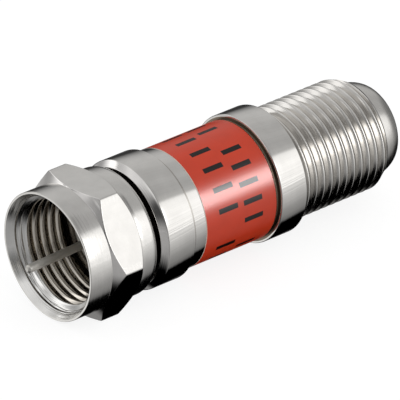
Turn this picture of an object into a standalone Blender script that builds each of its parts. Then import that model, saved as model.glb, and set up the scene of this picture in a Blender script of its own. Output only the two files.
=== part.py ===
"""Inline F-type RF attenuator: captive hexagon nut and pin at one end, threaded jack at the other.

Every turned piece is drawn in the lathe frame: z runs along the connector from the rim of the
nut (z = 0) to the face of the jack, x points up and y across. The connector lies on one flat of
its nut, with the middle of its footprint at the world's origin. Sizes are in metres.
"""

import math

import bmesh
import bpy
from mathutils import Matrix, Vector

MM = 0.001

# Unified 3/8-32 thread of the nut and of the jack
THREAD_DIAMETER = 9.525 * MM
THREAD_PITCH = 0.79375 * MM
THREAD_CLEARANCE = 0.05 * MM
THREAD_END_CHAMFER = 0.16 * MM

# Coupling nut
NUT_FLAT_WALL = 0.6875 * MM
NUT_COLLAR_STEP = 0.1 * MM
NUT_FRONT_COLLAR_LENGTH = 2.17 * MM
NUT_HEX_LENGTH = 3.13 * MM
NUT_REAR_COLLAR_LENGTH = 1.7 * MM
NUT_FRONT_CHAMFER_ANGLE = math.radians(35.5)
NUT_REAR_CHAMFER_ANGLE = math.radians(41.0)
NUT_EDGE_BREAK = 0.12 * MM
NUT_REAR_ROUND_LENGTH = 0.7 * MM
NUT_REAR_ROUND_DROP = 0.5 * MM
NUT_MOUTH_SHARE = 0.64
NUT_MOUTH_INNER_SHARE = 0.25
NUT_MOUTH_DEPTH = 0.85 * MM
NUT_MOUTH_SEAT = 0.1 * MM
NUT_LEAD_IN = 0.4 * MM
NUT_RELIEF_LENGTH = 0.8 * MM
NUT_LIP = 1.0 * MM

# Retaining ring of the nut
RING_THICKNESS = 0.32 * MM
RING_REACH = 0.5 * MM
RING_BITE = 0.3 * MM
RING_SPLIT = 0.9 * MM
RING_PLAY = 0.06 * MM

# Plug shell: post, flange and spigot
POST_WALL = 0.85 * MM
POST_LAND = 0.4 * MM
SPIN_CLEARANCE = 0.08 * MM
NUT_TO_FLANGE = 0.5 * MM
FLANGE_STEP = 0.05 * MM
FLANGE_LENGTH = 3.16 * MM
FLANGE_CHAMFER = 0.48 * MM
FLANGE_EDGE_BREAK = 0.06 * MM
INSULATOR_STOP = 0.35 * MM
SPIGOT_LENGTH = 2.1 * MM
SPIGOT_WALL = 0.6 * MM

# Barrel, collar and jack
BARREL_STEP = 0.4 * MM
BARREL_WALL = 0.4 * MM
BARREL_LENGTH = 9.04 * MM
COLLAR_STEP = 0.03 * MM
COLLAR_LENGTH = 2.65 * MM
COLLAR_EDGE_BREAK = 0.08 * MM
COLLAR_BULKHEAD = 0.6 * MM
NECK_LENGTH = 0.4 * MM
JACK_THREAD_LENGTH = 9.0 * MM
NOSE_STEP = 0.29 * MM
NOSE_LENGTH = 2.15 * MM
NOSE_RIM_WIDTH = 0.45 * MM
NOSE_WALL = 0.885 * MM
NOSE_LIP_THICKNESS = 0.6 * MM
NOSE_LIP_HEIGHT = 0.55 * MM

# Printed sleeve
LABEL_THICKNESS = 0.08 * MM
LABEL_INSET = 1.46 * MM
LABEL_END_INSET = 0.35 * MM

# Plug pin and its bead
PIN_DIAMETER = 0.7 * MM
PIN_REACH = 2.2 * MM
PIN_TIP_ROUND = 0.14 * MM
PIN_SHOULDER_DIAMETER = 1.5 * MM
PIN_SHOULDER_LENGTH = 0.5 * MM
PLUG_INSULATOR_RECESS = 0.25 * MM
PLUG_INSULATOR_LENGTH = 3.4 * MM

# Jack contact and its two insulators
CONTACT_DIAMETER = 1.6 * MM
CONTACT_BORE = 1.05 * MM
CONTACT_DEPTH = 1.1 * MM
CONTACT_BORE_SHARE = 0.75
CONTACT_SLOT_SHARE = 0.5
CONTACT_SLOT_WIDTH = 0.22 * MM
CONTACT_COLLAR_DIAMETER = 2.6 * MM
CONTACT_COLLAR_LENGTH = 0.5 * MM
ENTRY_DIAMETER = 1.3 * MM
ENTRY_FUNNEL = 0.35 * MM
ENTRY_WALL = 0.7 * MM
CONTACT_ROOM = 0.25 * MM
FRONT_INSULATOR_SHARE = 0.36
REAR_INSULATOR_SHARE = 0.24

# Circuit board with its copper and resistors
BOARD_THICKNESS = 0.8 * MM
BOARD_END_GAP = 0.15 * MM
BOARD_EDGE_GAP = 0.1 * MM
COPPER_THICKNESS = 0.07 * MM
COPPER_MARGIN = 0.2 * MM
TAIL_OVERLAP = 1.6 * MM
RESISTOR_LENGTH = 2.0 * MM
RESISTOR_WIDTH = 1.25 * MM
RESISTOR_HEIGHT = 0.5 * MM
RESISTOR_EDGE = 0.04 * MM
CAP_LENGTH = 0.4 * MM
SIGNAL_WIDTH = 2.3 * MM
SOLDER_LENGTH = 1.3 * MM
SOLDER_WIDTH = 1.2 * MM
SOLDER_HEIGHT = 0.65 * MM
CLIP_THICKNESS = 0.15 * MM
CLIP_WIDTH_SHARE = 0.9
CLIP_SWEEP = math.radians(34.0)

# Clearances between fitted pieces
SEAT_GAP = 0.03 * MM
FIT_GAP = 0.03 * MM
SOLDERED_GAP = 0.02 * MM

# Facets around each kind of round piece
TURNED_SEGMENTS = 42
SMALL_SEGMENTS = 20
DOME_STEPS = 9
ROUND_STEPS = 5
ARC_STEPS = 6
CUTTER_MARGIN = 0.3 * MM

# Sizes that follow from the ones above
THREAD_RADIUS = THREAD_DIAMETER / 2
SHARP_V_HEIGHT = THREAD_PITCH * math.sqrt(3) / 2
ROOT_RADIUS = THREAD_RADIUS - SHARP_V_HEIGHT * 17 / 24
NUT_MINOR_RADIUS = THREAD_RADIUS - SHARP_V_HEIGHT * 5 / 8 + THREAD_CLEARANCE / 2
NUT_MAJOR_RADIUS = THREAD_RADIUS + THREAD_CLEARANCE
HEX_APOTHEM = NUT_MAJOR_RADIUS + NUT_FLAT_WALL
HEX_CORNER_RADIUS = HEX_APOTHEM / math.cos(math.pi / 6)
NUT_COLLAR_RADIUS = HEX_APOTHEM - NUT_COLLAR_STEP
NUT_MOUTH_WALL = NUT_COLLAR_RADIUS - NUT_MAJOR_RADIUS
NUT_MOUTH_RADIUS = NUT_MAJOR_RADIUS + NUT_MOUTH_WALL * NUT_MOUTH_SHARE
NUT_MOUTH_INNER_RADIUS = NUT_MAJOR_RADIUS + NUT_MOUTH_WALL * NUT_MOUTH_INNER_SHARE
NUT_LENGTH = NUT_FRONT_COLLAR_LENGTH + NUT_HEX_LENGTH + NUT_REAR_COLLAR_LENGTH
RING_RADIUS = NUT_MINOR_RADIUS - FIT_GAP * 2
POST_RADIUS = RING_RADIUS - RING_REACH
NUT_BORE_RADIUS = POST_RADIUS + SPIN_CLEARANCE
POST_BORE_RADIUS = POST_RADIUS - POST_WALL
FLANGE_RADIUS = HEX_APOTHEM - FLANGE_STEP
BARREL_RADIUS = FLANGE_RADIUS - BARREL_STEP
COLLAR_RADIUS = FLANGE_RADIUS - COLLAR_STEP
LABEL_SEAT_RADIUS = BARREL_RADIUS - LABEL_THICKNESS - SOLDERED_GAP
BARREL_BORE_RADIUS = LABEL_SEAT_RADIUS - BARREL_WALL
SPIGOT_RADIUS = BARREL_BORE_RADIUS - FIT_GAP
SPIGOT_BORE_RADIUS = SPIGOT_RADIUS - SPIGOT_WALL
NOSE_RADIUS = ROOT_RADIUS - NOSE_STEP
JACK_BORE_RADIUS = NOSE_RADIUS - NOSE_WALL
NOSE_OPENING_RADIUS = JACK_BORE_RADIUS - NOSE_LIP_HEIGHT
PIN_RADIUS = PIN_DIAMETER / 2

# Stations along the connector
LIP_FRONT = NUT_LENGTH - NUT_LIP
RING_REAR = LIP_FRONT - RING_PLAY
RING_FRONT = RING_REAR - RING_THICKNESS
POST_FACE = RING_FRONT - SOLDERED_GAP - POST_LAND
FLANGE_FRONT = NUT_LENGTH + NUT_TO_FLANGE
FLANGE_REAR = FLANGE_FRONT + FLANGE_LENGTH
SPIGOT_END = FLANGE_REAR + SPIGOT_LENGTH
COLLAR_FRONT = FLANGE_REAR + BARREL_LENGTH
BARREL_BORE_END = COLLAR_FRONT + COLLAR_BULKHEAD
COLLAR_REAR = COLLAR_FRONT + COLLAR_LENGTH
THREAD_START = COLLAR_REAR + NECK_LENGTH
THREAD_END = THREAD_START + JACK_THREAD_LENGTH
JACK_FACE = THREAD_END + NOSE_LENGTH
LABEL_START = FLANGE_REAR + LABEL_INSET
LABEL_END = COLLAR_FRONT - LABEL_END_INSET
PLUG_INSULATOR_FRONT = POST_FACE + PLUG_INSULATOR_RECESS
PLUG_INSULATOR_REAR = PLUG_INSULATOR_FRONT + PLUG_INSULATOR_LENGTH
BOARD_START = SPIGOT_END + BOARD_END_GAP
BOARD_END = BARREL_BORE_END - BOARD_END_GAP
BOARD_MIDDLE = (BOARD_START + BOARD_END) / 2
NOSE_LIP_INNER = JACK_FACE - NOSE_LIP_THICKNESS
JACK_BORE_LENGTH = NOSE_LIP_INNER - BARREL_BORE_END
FRONT_INSULATOR_FACE = NOSE_LIP_INNER - FIT_GAP
FRONT_INSULATOR_REAR = FRONT_INSULATOR_FACE - JACK_BORE_LENGTH * FRONT_INSULATOR_SHARE
REAR_INSULATOR_REAR = BARREL_BORE_END + FIT_GAP
REAR_INSULATOR_FRONT = REAR_INSULATOR_REAR + JACK_BORE_LENGTH * REAR_INSULATOR_SHARE
CONTACT_REAR = REAR_INSULATOR_FRONT + FIT_GAP + CONTACT_COLLAR_LENGTH
CONTACT_FACE = FRONT_INSULATOR_FACE - CONTACT_DEPTH
CONTACT_BORE_DEPTH = (CONTACT_FACE - CONTACT_REAR) * CONTACT_BORE_SHARE
CONTACT_SLOT_LENGTH = (CONTACT_FACE - CONTACT_REAR) * CONTACT_SLOT_SHARE

# Heights above the axis, in the barrel
COPPER_TOP = -PIN_RADIUS - SOLDERED_GAP
BOARD_TOP = COPPER_TOP - COPPER_THICKNESS - SOLDERED_GAP
BOARD_BOTTOM = BOARD_TOP - BOARD_THICKNESS
BOARD_CORNER_RADIUS = BARREL_BORE_RADIUS - BOARD_EDGE_GAP
BOARD_HALF_WIDTH = math.sqrt(BOARD_CORNER_RADIUS ** 2 - BOARD_BOTTOM ** 2)
RESISTOR_BOTTOM = COPPER_TOP + SOLDERED_GAP
SHUNT_INNER = SIGNAL_WIDTH / 2 - CAP_LENGTH
GROUND_INNER = SHUNT_INNER + RESISTOR_LENGTH - CAP_LENGTH
TRACK_GAP = RESISTOR_LENGTH / 2 - CAP_LENGTH
TRACK_LENGTH = BOARD_MIDDLE - TRACK_GAP - BOARD_START - COPPER_MARGIN
SHUNT_INSET = COPPER_MARGIN / 2
CLIP_WIDTH = (TRACK_LENGTH - SHUNT_INSET - RESISTOR_WIDTH) * CLIP_WIDTH_SHARE

# Placing: the axis stands over the rest by the largest half width below it
AXIS_HEIGHT = max(HEX_APOTHEM, FLANGE_RADIUS, COLLAR_RADIUS)
MIDDLE_STATION = (JACK_FACE - PIN_REACH) / 2
LATHE_TO_WORLD = Matrix(((0, 0, 1, 0), (0, -1, 0, 0), (1, 0, 0, 0), (0, 0, 0, 1)))

COLLECTION_NAME = "rf_attenuator"


def start_clean():
    """Remove what the scene holds and return the collections for pieces and cutters."""
    for thing in list(bpy.data.objects):
        bpy.data.objects.remove(thing, do_unlink=True)
    collections = []
    for name in (COLLECTION_NAME, "cutters"):
        collection = bpy.data.collections.new(name)
        bpy.context.scene.collection.children.link(collection)
        collections.append(collection)
    return collections


PIECES, CUTTERS = start_clean()


def finish(name, colour, metallic, roughness):
    """Make one Principled material."""
    material = bpy.data.materials.new(name)
    material.use_nodes = True
    shader = material.node_tree.nodes["Principled BSDF"]
    shader.inputs["Base Color"].default_value = (*colour, 1.0)
    shader.inputs["Metallic"].default_value = metallic
    shader.inputs["Roughness"].default_value = roughness
    material.diffuse_color = (*colour, 1.0)
    return material


NICKEL = finish("bright_nickel", (0.66, 0.64, 0.61), 1.0, 0.18)
STEEL = finish("spring_steel", (0.45, 0.45, 0.46), 1.0, 0.3)
TIN = finish("tinned_wire", (0.36, 0.34, 0.32), 1.0, 0.35)
BRONZE = finish("contact_bronze", (0.72, 0.5, 0.26), 1.0, 0.3)
RED_PRINT = finish("red_print", (0.56, 0.035, 0.022), 0.0, 0.25)
WHITE_BEAD = finish("white_polymer", (0.82, 0.82, 0.78), 0.0, 0.4)
BOARD_GREEN = finish("board_laminate", (0.04, 0.18, 0.07), 0.0, 0.5)
COPPER = finish("tinned_copper", (0.75, 0.58, 0.42), 1.0, 0.35)
CERAMIC = finish("resistor_body", (0.03, 0.03, 0.035), 0.0, 0.4)
SOLDER = finish("solder", (0.6, 0.6, 0.6), 1.0, 0.3)


def new_empty(name, station):
    """Add an empty on the axis, turned so that its own z runs along the connector."""
    empty = bpy.data.objects.new(name, None)
    empty.empty_display_size = 2 * MM
    place = Matrix.Translation((station - MIDDLE_STATION, 0, AXIS_HEIGHT))
    empty.matrix_world = place @ LATHE_TO_WORLD
    PIECES.objects.link(empty)
    return empty


BODY_AXIS = new_empty("body_axis", 0)
NUT_AXIS = new_empty("nut_axis", 0)


def mesh_of(obj):
    """Read an object's mesh as evaluated, welded, and remove the object."""
    bpy.context.view_layer.update()
    graph = bpy.context.evaluated_depsgraph_get()
    mesh = bpy.data.meshes.new_from_object(obj.evaluated_get(graph))
    mesh.transform(obj.matrix_world)
    bpy.data.objects.remove(obj, do_unlink=True)
    shape = bmesh.new()
    shape.from_mesh(mesh)
    bmesh.ops.remove_doubles(shape, verts=shape.verts, dist=0.0005 * MM)
    shape.to_mesh(mesh)
    shape.free()
    return mesh


def lathe(profile, segments, offset=0.0, turns=1):
    """Turn a closed or axis-to-axis profile of (station, radius) points into a mesh."""
    on_axis = profile[0][1] == 0 and profile[-1][1] == 0
    corners = [(radius, 0, station) for station, radius in profile]
    count = len(corners)
    edges = [(i, i + 1) for i in range(count - 1)]
    if not on_axis:
        edges.append((count - 1, 0))
    mesh = bpy.data.meshes.new("profile")
    mesh.from_pydata(corners, edges, [])
    obj = bpy.data.objects.new("profile", mesh)
    CUTTERS.objects.link(obj)
    screw = obj.modifiers.new("turn", "SCREW")
    screw.axis = "Z"
    screw.angle = math.tau
    screw.steps = segments
    screw.render_steps = segments
    screw.iterations = turns
    screw.screw_offset = offset
    screw.use_merge_vertices = turns == 1
    screw.merge_threshold = 0.0005 * MM
    screw.use_smooth_shade = False
    return mesh_of(obj)


def ring_profile(outer, inner):
    """Join the outer and inner sides of a turned ring, each given from front to rear."""
    return list(reversed(outer)) + list(inner)


def rod_profile(outer):
    """Close the outer side of a solid rod, given from front to rear, on the axis."""
    front = outer[0][0]
    rear = outer[-1][0]
    return [(rear, 0)] + list(reversed(outer)) + [(front, 0)]


def quarter_oval(start, start_radius, end, end_radius, steps):
    """Points of a dome's profile that leaves along the axis and ends square to it."""
    points = []
    for i in range(steps + 1):
        angle = math.pi / 2 * i / steps
        station = start + (end - start) * math.sin(angle)
        radius = end_radius + (start_radius - end_radius) * math.cos(angle)
        points.append((station, radius))
    return points


def cutter(name, mesh):
    """Keep a mesh as a cutter that doesn't render."""
    obj = bpy.data.objects.new(name, mesh)
    obj.hide_render = True
    obj.display_type = "WIRE"
    CUTTERS.objects.link(obj)
    return obj


def joined(mesh, operation, tool):
    """Apply one exact Boolean to a mesh and return the result."""
    obj = bpy.data.objects.new("work", mesh)
    CUTTERS.objects.link(obj)
    step = obj.modifiers.new(operation.lower(), "BOOLEAN")
    step.operation = operation
    step.solver = "EXACT"
    step.object = tool
    return mesh_of(obj)


def piece(name, mesh, material, parent):
    """Add one finished piece: smooth shaded, with its material, on its axis."""
    mesh.name = name
    mesh.materials.clear()
    mesh.materials.append(material)
    mesh.shade_smooth()
    mesh.set_sharp_from_angle(angle=math.radians(28))
    obj = bpy.data.objects.new(name, mesh)
    PIECES.objects.link(obj)
    obj.parent = parent
    return obj


def block(up, across, along, edge=0.0):
    """Make a box from (low, high) pairs, with its edges broken by a Bevel where asked."""
    shape = bmesh.new()
    bmesh.ops.create_cube(shape, size=1.0)
    size = Vector((up[1] - up[0], across[1] - across[0], along[1] - along[0]))
    middle = Vector((up[0] + up[1], across[0] + across[1], along[0] + along[1])) / 2
    bmesh.ops.scale(shape, vec=size, verts=shape.verts)
    bmesh.ops.translate(shape, vec=middle, verts=shape.verts)
    mesh = bpy.data.meshes.new("block")
    shape.to_mesh(mesh)
    shape.free()
    if not edge:
        return mesh
    obj = bpy.data.objects.new("block", mesh)
    CUTTERS.objects.link(obj)
    bevel = obj.modifiers.new("edge", "BEVEL")
    bevel.width = edge
    bevel.segments = 1
    bevel.limit_method = "ANGLE"
    return mesh_of(obj)


def hexagon_bar(apothem, start, end):
    """Make a hexagonal bar along the axis with one flat facing straight down."""
    shape = bmesh.new()
    bmesh.ops.create_cone(
        shape,
        cap_ends=True,
        segments=6,
        radius1=apothem / math.cos(math.pi / 6),
        radius2=apothem / math.cos(math.pi / 6),
        depth=end - start,
        matrix=Matrix.Translation((0, 0, (start + end) / 2)),
    )
    mesh = bpy.data.meshes.new("hexagon")
    shape.to_mesh(mesh)
    shape.free()
    return mesh


def helical_cutter(name, section, start, turns):
    """Sweep a closed section of (offset, radius) points along the thread's helix."""
    profile = [(start + along, radius) for along, radius in section]
    mesh = lathe(profile, TURNED_SEGMENTS, THREAD_PITCH, turns)
    shape = bmesh.new()
    shape.from_mesh(mesh)
    bmesh.ops.remove_doubles(shape, verts=shape.verts, dist=0.0005 * MM)
    bmesh.ops.holes_fill(shape, edges=[e for e in shape.edges if e.is_boundary], sides=len(section))
    bmesh.ops.triangulate(shape, faces=shape.faces)
    bmesh.ops.recalc_face_normals(shape, faces=shape.faces)
    shape.to_mesh(mesh)
    shape.free()
    return cutter(name, mesh)


def external_thread_cutter():
    """V groove of the jack's thread, from its neck to past its end."""
    root_half = THREAD_PITCH / 8
    mouth_half = THREAD_PITCH * 7 / 16
    clear = THREAD_RADIUS + CUTTER_MARGIN
    section = [
        (-mouth_half, clear),
        (-mouth_half, THREAD_RADIUS),
        (-root_half, ROOT_RADIUS),
        (root_half, ROOT_RADIUS),
        (mouth_half, THREAD_RADIUS),
        (mouth_half, clear),
    ]
    start = THREAD_START - THREAD_PITCH / 2
    turns = math.ceil(JACK_THREAD_LENGTH / THREAD_PITCH) + 1
    return helical_cutter("jack_thread_cutter", section, start, turns)


def internal_thread_cutter(start, end):
    """V groove of the nut's thread, from its lead-in to its relief."""
    crest_half = THREAD_PITCH * 3 / 8
    root_half = THREAD_PITCH / 16
    inside = NUT_MINOR_RADIUS - CUTTER_MARGIN
    section = [
        (-crest_half, inside),
        (crest_half, inside),
        (crest_half, NUT_MINOR_RADIUS),
        (root_half, NUT_MAJOR_RADIUS),
        (-root_half, NUT_MAJOR_RADIUS),
        (-crest_half, NUT_MINOR_RADIUS),
    ]
    turns = math.ceil((end - start) / THREAD_PITCH)
    return helical_cutter("nut_thread_cutter", section, start - THREAD_PITCH / 2, turns)


def build_coupling_nut():
    """Turned hexagon nut: collars, chamfered hexagon, threaded bore and rear lip."""
    hex_start = NUT_FRONT_COLLAR_LENGTH
    hex_end = hex_start + NUT_HEX_LENGTH
    rise = HEX_CORNER_RADIUS - NUT_COLLAR_RADIUS
    front_chamfer = rise * math.tan(NUT_FRONT_CHAMFER_ANGLE)
    rear_chamfer = rise * math.tan(NUT_REAR_CHAMFER_ANGLE)
    outer = [
        (0, NUT_COLLAR_RADIUS - NUT_EDGE_BREAK / 2),
        (NUT_EDGE_BREAK / 2, NUT_COLLAR_RADIUS),
        (hex_start, NUT_COLLAR_RADIUS),
        (hex_start + front_chamfer, HEX_CORNER_RADIUS),
        (hex_end - rear_chamfer, HEX_CORNER_RADIUS),
        (hex_end, NUT_COLLAR_RADIUS),
    ]
    outer += quarter_oval(
        NUT_LENGTH - NUT_REAR_ROUND_LENGTH,
        NUT_COLLAR_RADIUS,
        NUT_LENGTH,
        NUT_COLLAR_RADIUS - NUT_REAR_ROUND_DROP,
        ROUND_STEPS,
    )
    lead_in = NUT_MOUTH_DEPTH + NUT_MOUTH_SEAT
    thread_start = lead_in + NUT_LEAD_IN
    thread_end = LIP_FRONT - NUT_RELIEF_LENGTH
    relief = NUT_MAJOR_RADIUS + THREAD_CLEARANCE / 2
    bore = [
        (0, NUT_MOUTH_RADIUS),
        (NUT_MOUTH_DEPTH, NUT_MOUTH_INNER_RADIUS),
        (lead_in, relief),
        (thread_start, relief),
        (thread_start + THREAD_END_CHAMFER, NUT_MINOR_RADIUS),
        (thread_end, NUT_MINOR_RADIUS),
        (thread_end, relief),
        (LIP_FRONT, relief),
        (LIP_FRONT, NUT_BORE_RADIUS),
        (NUT_LENGTH, NUT_BORE_RADIUS),
    ]
    mesh = lathe(ring_profile(outer, bore), TURNED_SEGMENTS)
    bar = hexagon_bar(HEX_APOTHEM, -CUTTER_MARGIN, NUT_LENGTH + CUTTER_MARGIN)
    mesh = joined(mesh, "INTERSECT", cutter("nut_hexagon", bar))
    mesh = joined(mesh, "DIFFERENCE", internal_thread_cutter(thread_start, thread_end))
    piece("coupling_nut", mesh, NICKEL, NUT_AXIS)


def build_retaining_ring():
    """Split ring in the post's groove, in front of the nut's lip."""
    inner = POST_RADIUS - RING_BITE + FIT_GAP
    outer_side = [(RING_FRONT, RING_RADIUS), (RING_REAR, RING_RADIUS)]
    inner_side = [(RING_FRONT, inner), (RING_REAR, inner)]
    mesh = lathe(ring_profile(outer_side, inner_side), TURNED_SEGMENTS)
    split = block(
        (0, RING_RADIUS + CUTTER_MARGIN),
        (-RING_SPLIT / 2, RING_SPLIT / 2),
        (RING_FRONT - CUTTER_MARGIN, RING_REAR + CUTTER_MARGIN),
    )
    mesh = joined(mesh, "DIFFERENCE", cutter("ring_split", split))
    piece("nut_retaining_ring", mesh, STEEL, BODY_AXIS)


def build_front_shell():
    """Plug shell: grooved post, chamfered flange and the spigot that sits in the barrel."""
    groove_radius = POST_RADIUS - RING_BITE
    edge = FLANGE_EDGE_BREAK
    outer = [
        (POST_FACE, POST_RADIUS - edge),
        (POST_FACE + edge, POST_RADIUS),
        (RING_FRONT - SOLDERED_GAP, POST_RADIUS),
        (RING_FRONT - SOLDERED_GAP, groove_radius),
        (RING_REAR + SOLDERED_GAP, groove_radius),
        (RING_REAR + SOLDERED_GAP, POST_RADIUS),
        (FLANGE_FRONT, POST_RADIUS),
        (FLANGE_FRONT, FLANGE_RADIUS - FLANGE_CHAMFER),
        (FLANGE_FRONT + FLANGE_CHAMFER, FLANGE_RADIUS),
        (FLANGE_REAR - edge, FLANGE_RADIUS),
        (FLANGE_REAR, FLANGE_RADIUS - edge),
        (FLANGE_REAR, SPIGOT_RADIUS),
        (SPIGOT_END - edge, SPIGOT_RADIUS),
        (SPIGOT_END, SPIGOT_RADIUS - edge),
    ]
    stop = PLUG_INSULATOR_REAR + FIT_GAP
    bore = [
        (POST_FACE, POST_BORE_RADIUS),
        (stop, POST_BORE_RADIUS),
        (stop, POST_BORE_RADIUS - INSULATOR_STOP),
        (stop + INSULATOR_STOP, POST_BORE_RADIUS - INSULATOR_STOP),
        (stop + INSULATOR_STOP, SPIGOT_BORE_RADIUS),
        (SPIGOT_END, SPIGOT_BORE_RADIUS),
    ]
    mesh = lathe(ring_profile(outer, bore), TURNED_SEGMENTS)
    piece("front_shell", mesh, NICKEL, BODY_AXIS)


def build_rear_shell():
    """Barrel with its sleeve's seat, raised collar, cut thread and domed nose."""
    front = FLANGE_REAR + SEAT_GAP
    edge = COLLAR_EDGE_BREAK
    outer = [
        (front, BARREL_RADIUS),
        (LABEL_START, BARREL_RADIUS),
        (LABEL_START, LABEL_SEAT_RADIUS),
        (LABEL_END, LABEL_SEAT_RADIUS),
        (LABEL_END, BARREL_RADIUS),
        (COLLAR_FRONT, BARREL_RADIUS),
        (COLLAR_FRONT, COLLAR_RADIUS - edge),
        (COLLAR_FRONT + edge, COLLAR_RADIUS),
        (COLLAR_REAR - edge, COLLAR_RADIUS),
        (COLLAR_REAR, COLLAR_RADIUS - edge),
        (COLLAR_REAR, ROOT_RADIUS - SOLDERED_GAP),
        (THREAD_START, ROOT_RADIUS - SOLDERED_GAP),
        (THREAD_START + THREAD_END_CHAMFER, THREAD_RADIUS),
        (THREAD_END - THREAD_END_CHAMFER, THREAD_RADIUS),
        (THREAD_END, THREAD_RADIUS - THREAD_END_CHAMFER),
    ]
    rim_radius = NOSE_OPENING_RADIUS + NOSE_RIM_WIDTH
    outer += quarter_oval(THREAD_END, NOSE_RADIUS, JACK_FACE, rim_radius, DOME_STEPS)
    bore = [
        (front, BARREL_BORE_RADIUS),
        (BARREL_BORE_END, BARREL_BORE_RADIUS),
        (BARREL_BORE_END, JACK_BORE_RADIUS),
        (NOSE_LIP_INNER, JACK_BORE_RADIUS),
        (NOSE_LIP_INNER, NOSE_OPENING_RADIUS),
        (JACK_FACE, NOSE_OPENING_RADIUS),
    ]
    mesh = lathe(ring_profile(outer, bore), TURNED_SEGMENTS)
    mesh = joined(mesh, "DIFFERENCE", external_thread_cutter())
    piece("rear_shell", mesh, NICKEL, BODY_AXIS)


def build_label_sleeve():
    """Thin printed sleeve, flush with the barrel."""
    start = LABEL_START + SOLDERED_GAP
    end = LABEL_END - SOLDERED_GAP
    outer = [(start, BARREL_RADIUS), (end, BARREL_RADIUS)]
    inner = [(start, BARREL_RADIUS - LABEL_THICKNESS), (end, BARREL_RADIUS - LABEL_THICKNESS)]
    mesh = lathe(ring_profile(outer, inner), TURNED_SEGMENTS)
    piece("label_sleeve", mesh, RED_PRINT, BODY_AXIS)


def build_plug_contact():
    """Plug pin with its shoulder and solder tail, and the bead that centres it."""
    shoulder_front = PLUG_INSULATOR_REAR + FIT_GAP
    shoulder_rear = shoulder_front + PIN_SHOULDER_LENGTH
    tail_end = BOARD_START + TAIL_OVERLAP
    pin = [
        (-PIN_REACH, PIN_RADIUS - PIN_TIP_ROUND),
        (-PIN_REACH + PIN_TIP_ROUND * 0.3, PIN_RADIUS - PIN_TIP_ROUND * 0.3),
        (-PIN_REACH + PIN_TIP_ROUND, PIN_RADIUS),
        (shoulder_front, PIN_RADIUS),
        (shoulder_front, PIN_SHOULDER_DIAMETER / 2),
        (shoulder_rear, PIN_SHOULDER_DIAMETER / 2),
        (shoulder_rear, PIN_RADIUS),
        (tail_end, PIN_RADIUS),
    ]
    piece("center_pin", lathe(rod_profile(pin), SMALL_SEGMENTS), TIN, BODY_AXIS)

    radius = POST_BORE_RADIUS - FIT_GAP
    hole = PIN_RADIUS + FIT_GAP
    outer = [(PLUG_INSULATOR_FRONT, radius), (PLUG_INSULATOR_REAR, radius)]
    bore = [(PLUG_INSULATOR_FRONT, hole), (PLUG_INSULATOR_REAR, hole)]
    mesh = lathe(ring_profile(outer, bore), TURNED_SEGMENTS)
    piece("plug_insulator", mesh, WHITE_BEAD, BODY_AXIS)


def build_jack_contact():
    """Slotted spring contact with its collar and solder tail, and its two insulators."""
    collar_rear = CONTACT_REAR - CONTACT_COLLAR_LENGTH
    tail_end = BOARD_END - TAIL_OVERLAP
    radius = CONTACT_DIAMETER / 2
    bore = CONTACT_BORE / 2
    contact = [
        (tail_end, 0),
        (tail_end, PIN_RADIUS),
        (collar_rear, PIN_RADIUS),
        (collar_rear, CONTACT_COLLAR_DIAMETER / 2),
        (CONTACT_REAR, CONTACT_COLLAR_DIAMETER / 2),
        (CONTACT_REAR, radius),
        (CONTACT_FACE, radius),
        (CONTACT_FACE, bore),
        (CONTACT_FACE - CONTACT_BORE_DEPTH, bore),
        (CONTACT_FACE - CONTACT_BORE_DEPTH, 0),
    ]
    mesh = lathe(list(reversed(contact)), SMALL_SEGMENTS)
    reach = radius + CUTTER_MARGIN
    slot = (CONTACT_FACE - CONTACT_SLOT_LENGTH, CONTACT_FACE + CUTTER_MARGIN)
    half = CONTACT_SLOT_WIDTH / 2
    for name, up, across in (
        ("slot_up", (-reach, reach), (-half, half)),
        ("slot_across", (-half, half), (-reach, reach)),
    ):
        mesh = joined(mesh, "DIFFERENCE", cutter(name, block(up, across, slot)))
    piece("jack_contact", mesh, BRONZE, BODY_AXIS)

    outer_radius = JACK_BORE_RADIUS - FIT_GAP
    entry = ENTRY_DIAMETER / 2
    room = radius + CONTACT_ROOM
    outer = [(FRONT_INSULATOR_REAR, outer_radius), (FRONT_INSULATOR_FACE, outer_radius)]
    bore_side = [
        (FRONT_INSULATOR_REAR, room),
        (FRONT_INSULATOR_FACE - ENTRY_WALL, room),
        (FRONT_INSULATOR_FACE - ENTRY_WALL, entry),
        (FRONT_INSULATOR_FACE - ENTRY_FUNNEL, entry),
        (FRONT_INSULATOR_FACE, entry + ENTRY_FUNNEL),
    ]
    mesh = lathe(ring_profile(outer, bore_side), TURNED_SEGMENTS)
    piece("jack_insulator_front", mesh, WHITE_BEAD, BODY_AXIS)

    hole = PIN_RADIUS + FIT_GAP
    outer = [(REAR_INSULATOR_REAR, outer_radius), (REAR_INSULATOR_FRONT, outer_radius)]
    bore_side = [(REAR_INSULATOR_REAR, hole), (REAR_INSULATOR_FRONT, hole)]
    mesh = lathe(ring_profile(outer, bore_side), TURNED_SEGMENTS)
    piece("jack_insulator_rear", mesh, WHITE_BEAD, BODY_AXIS)


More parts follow.
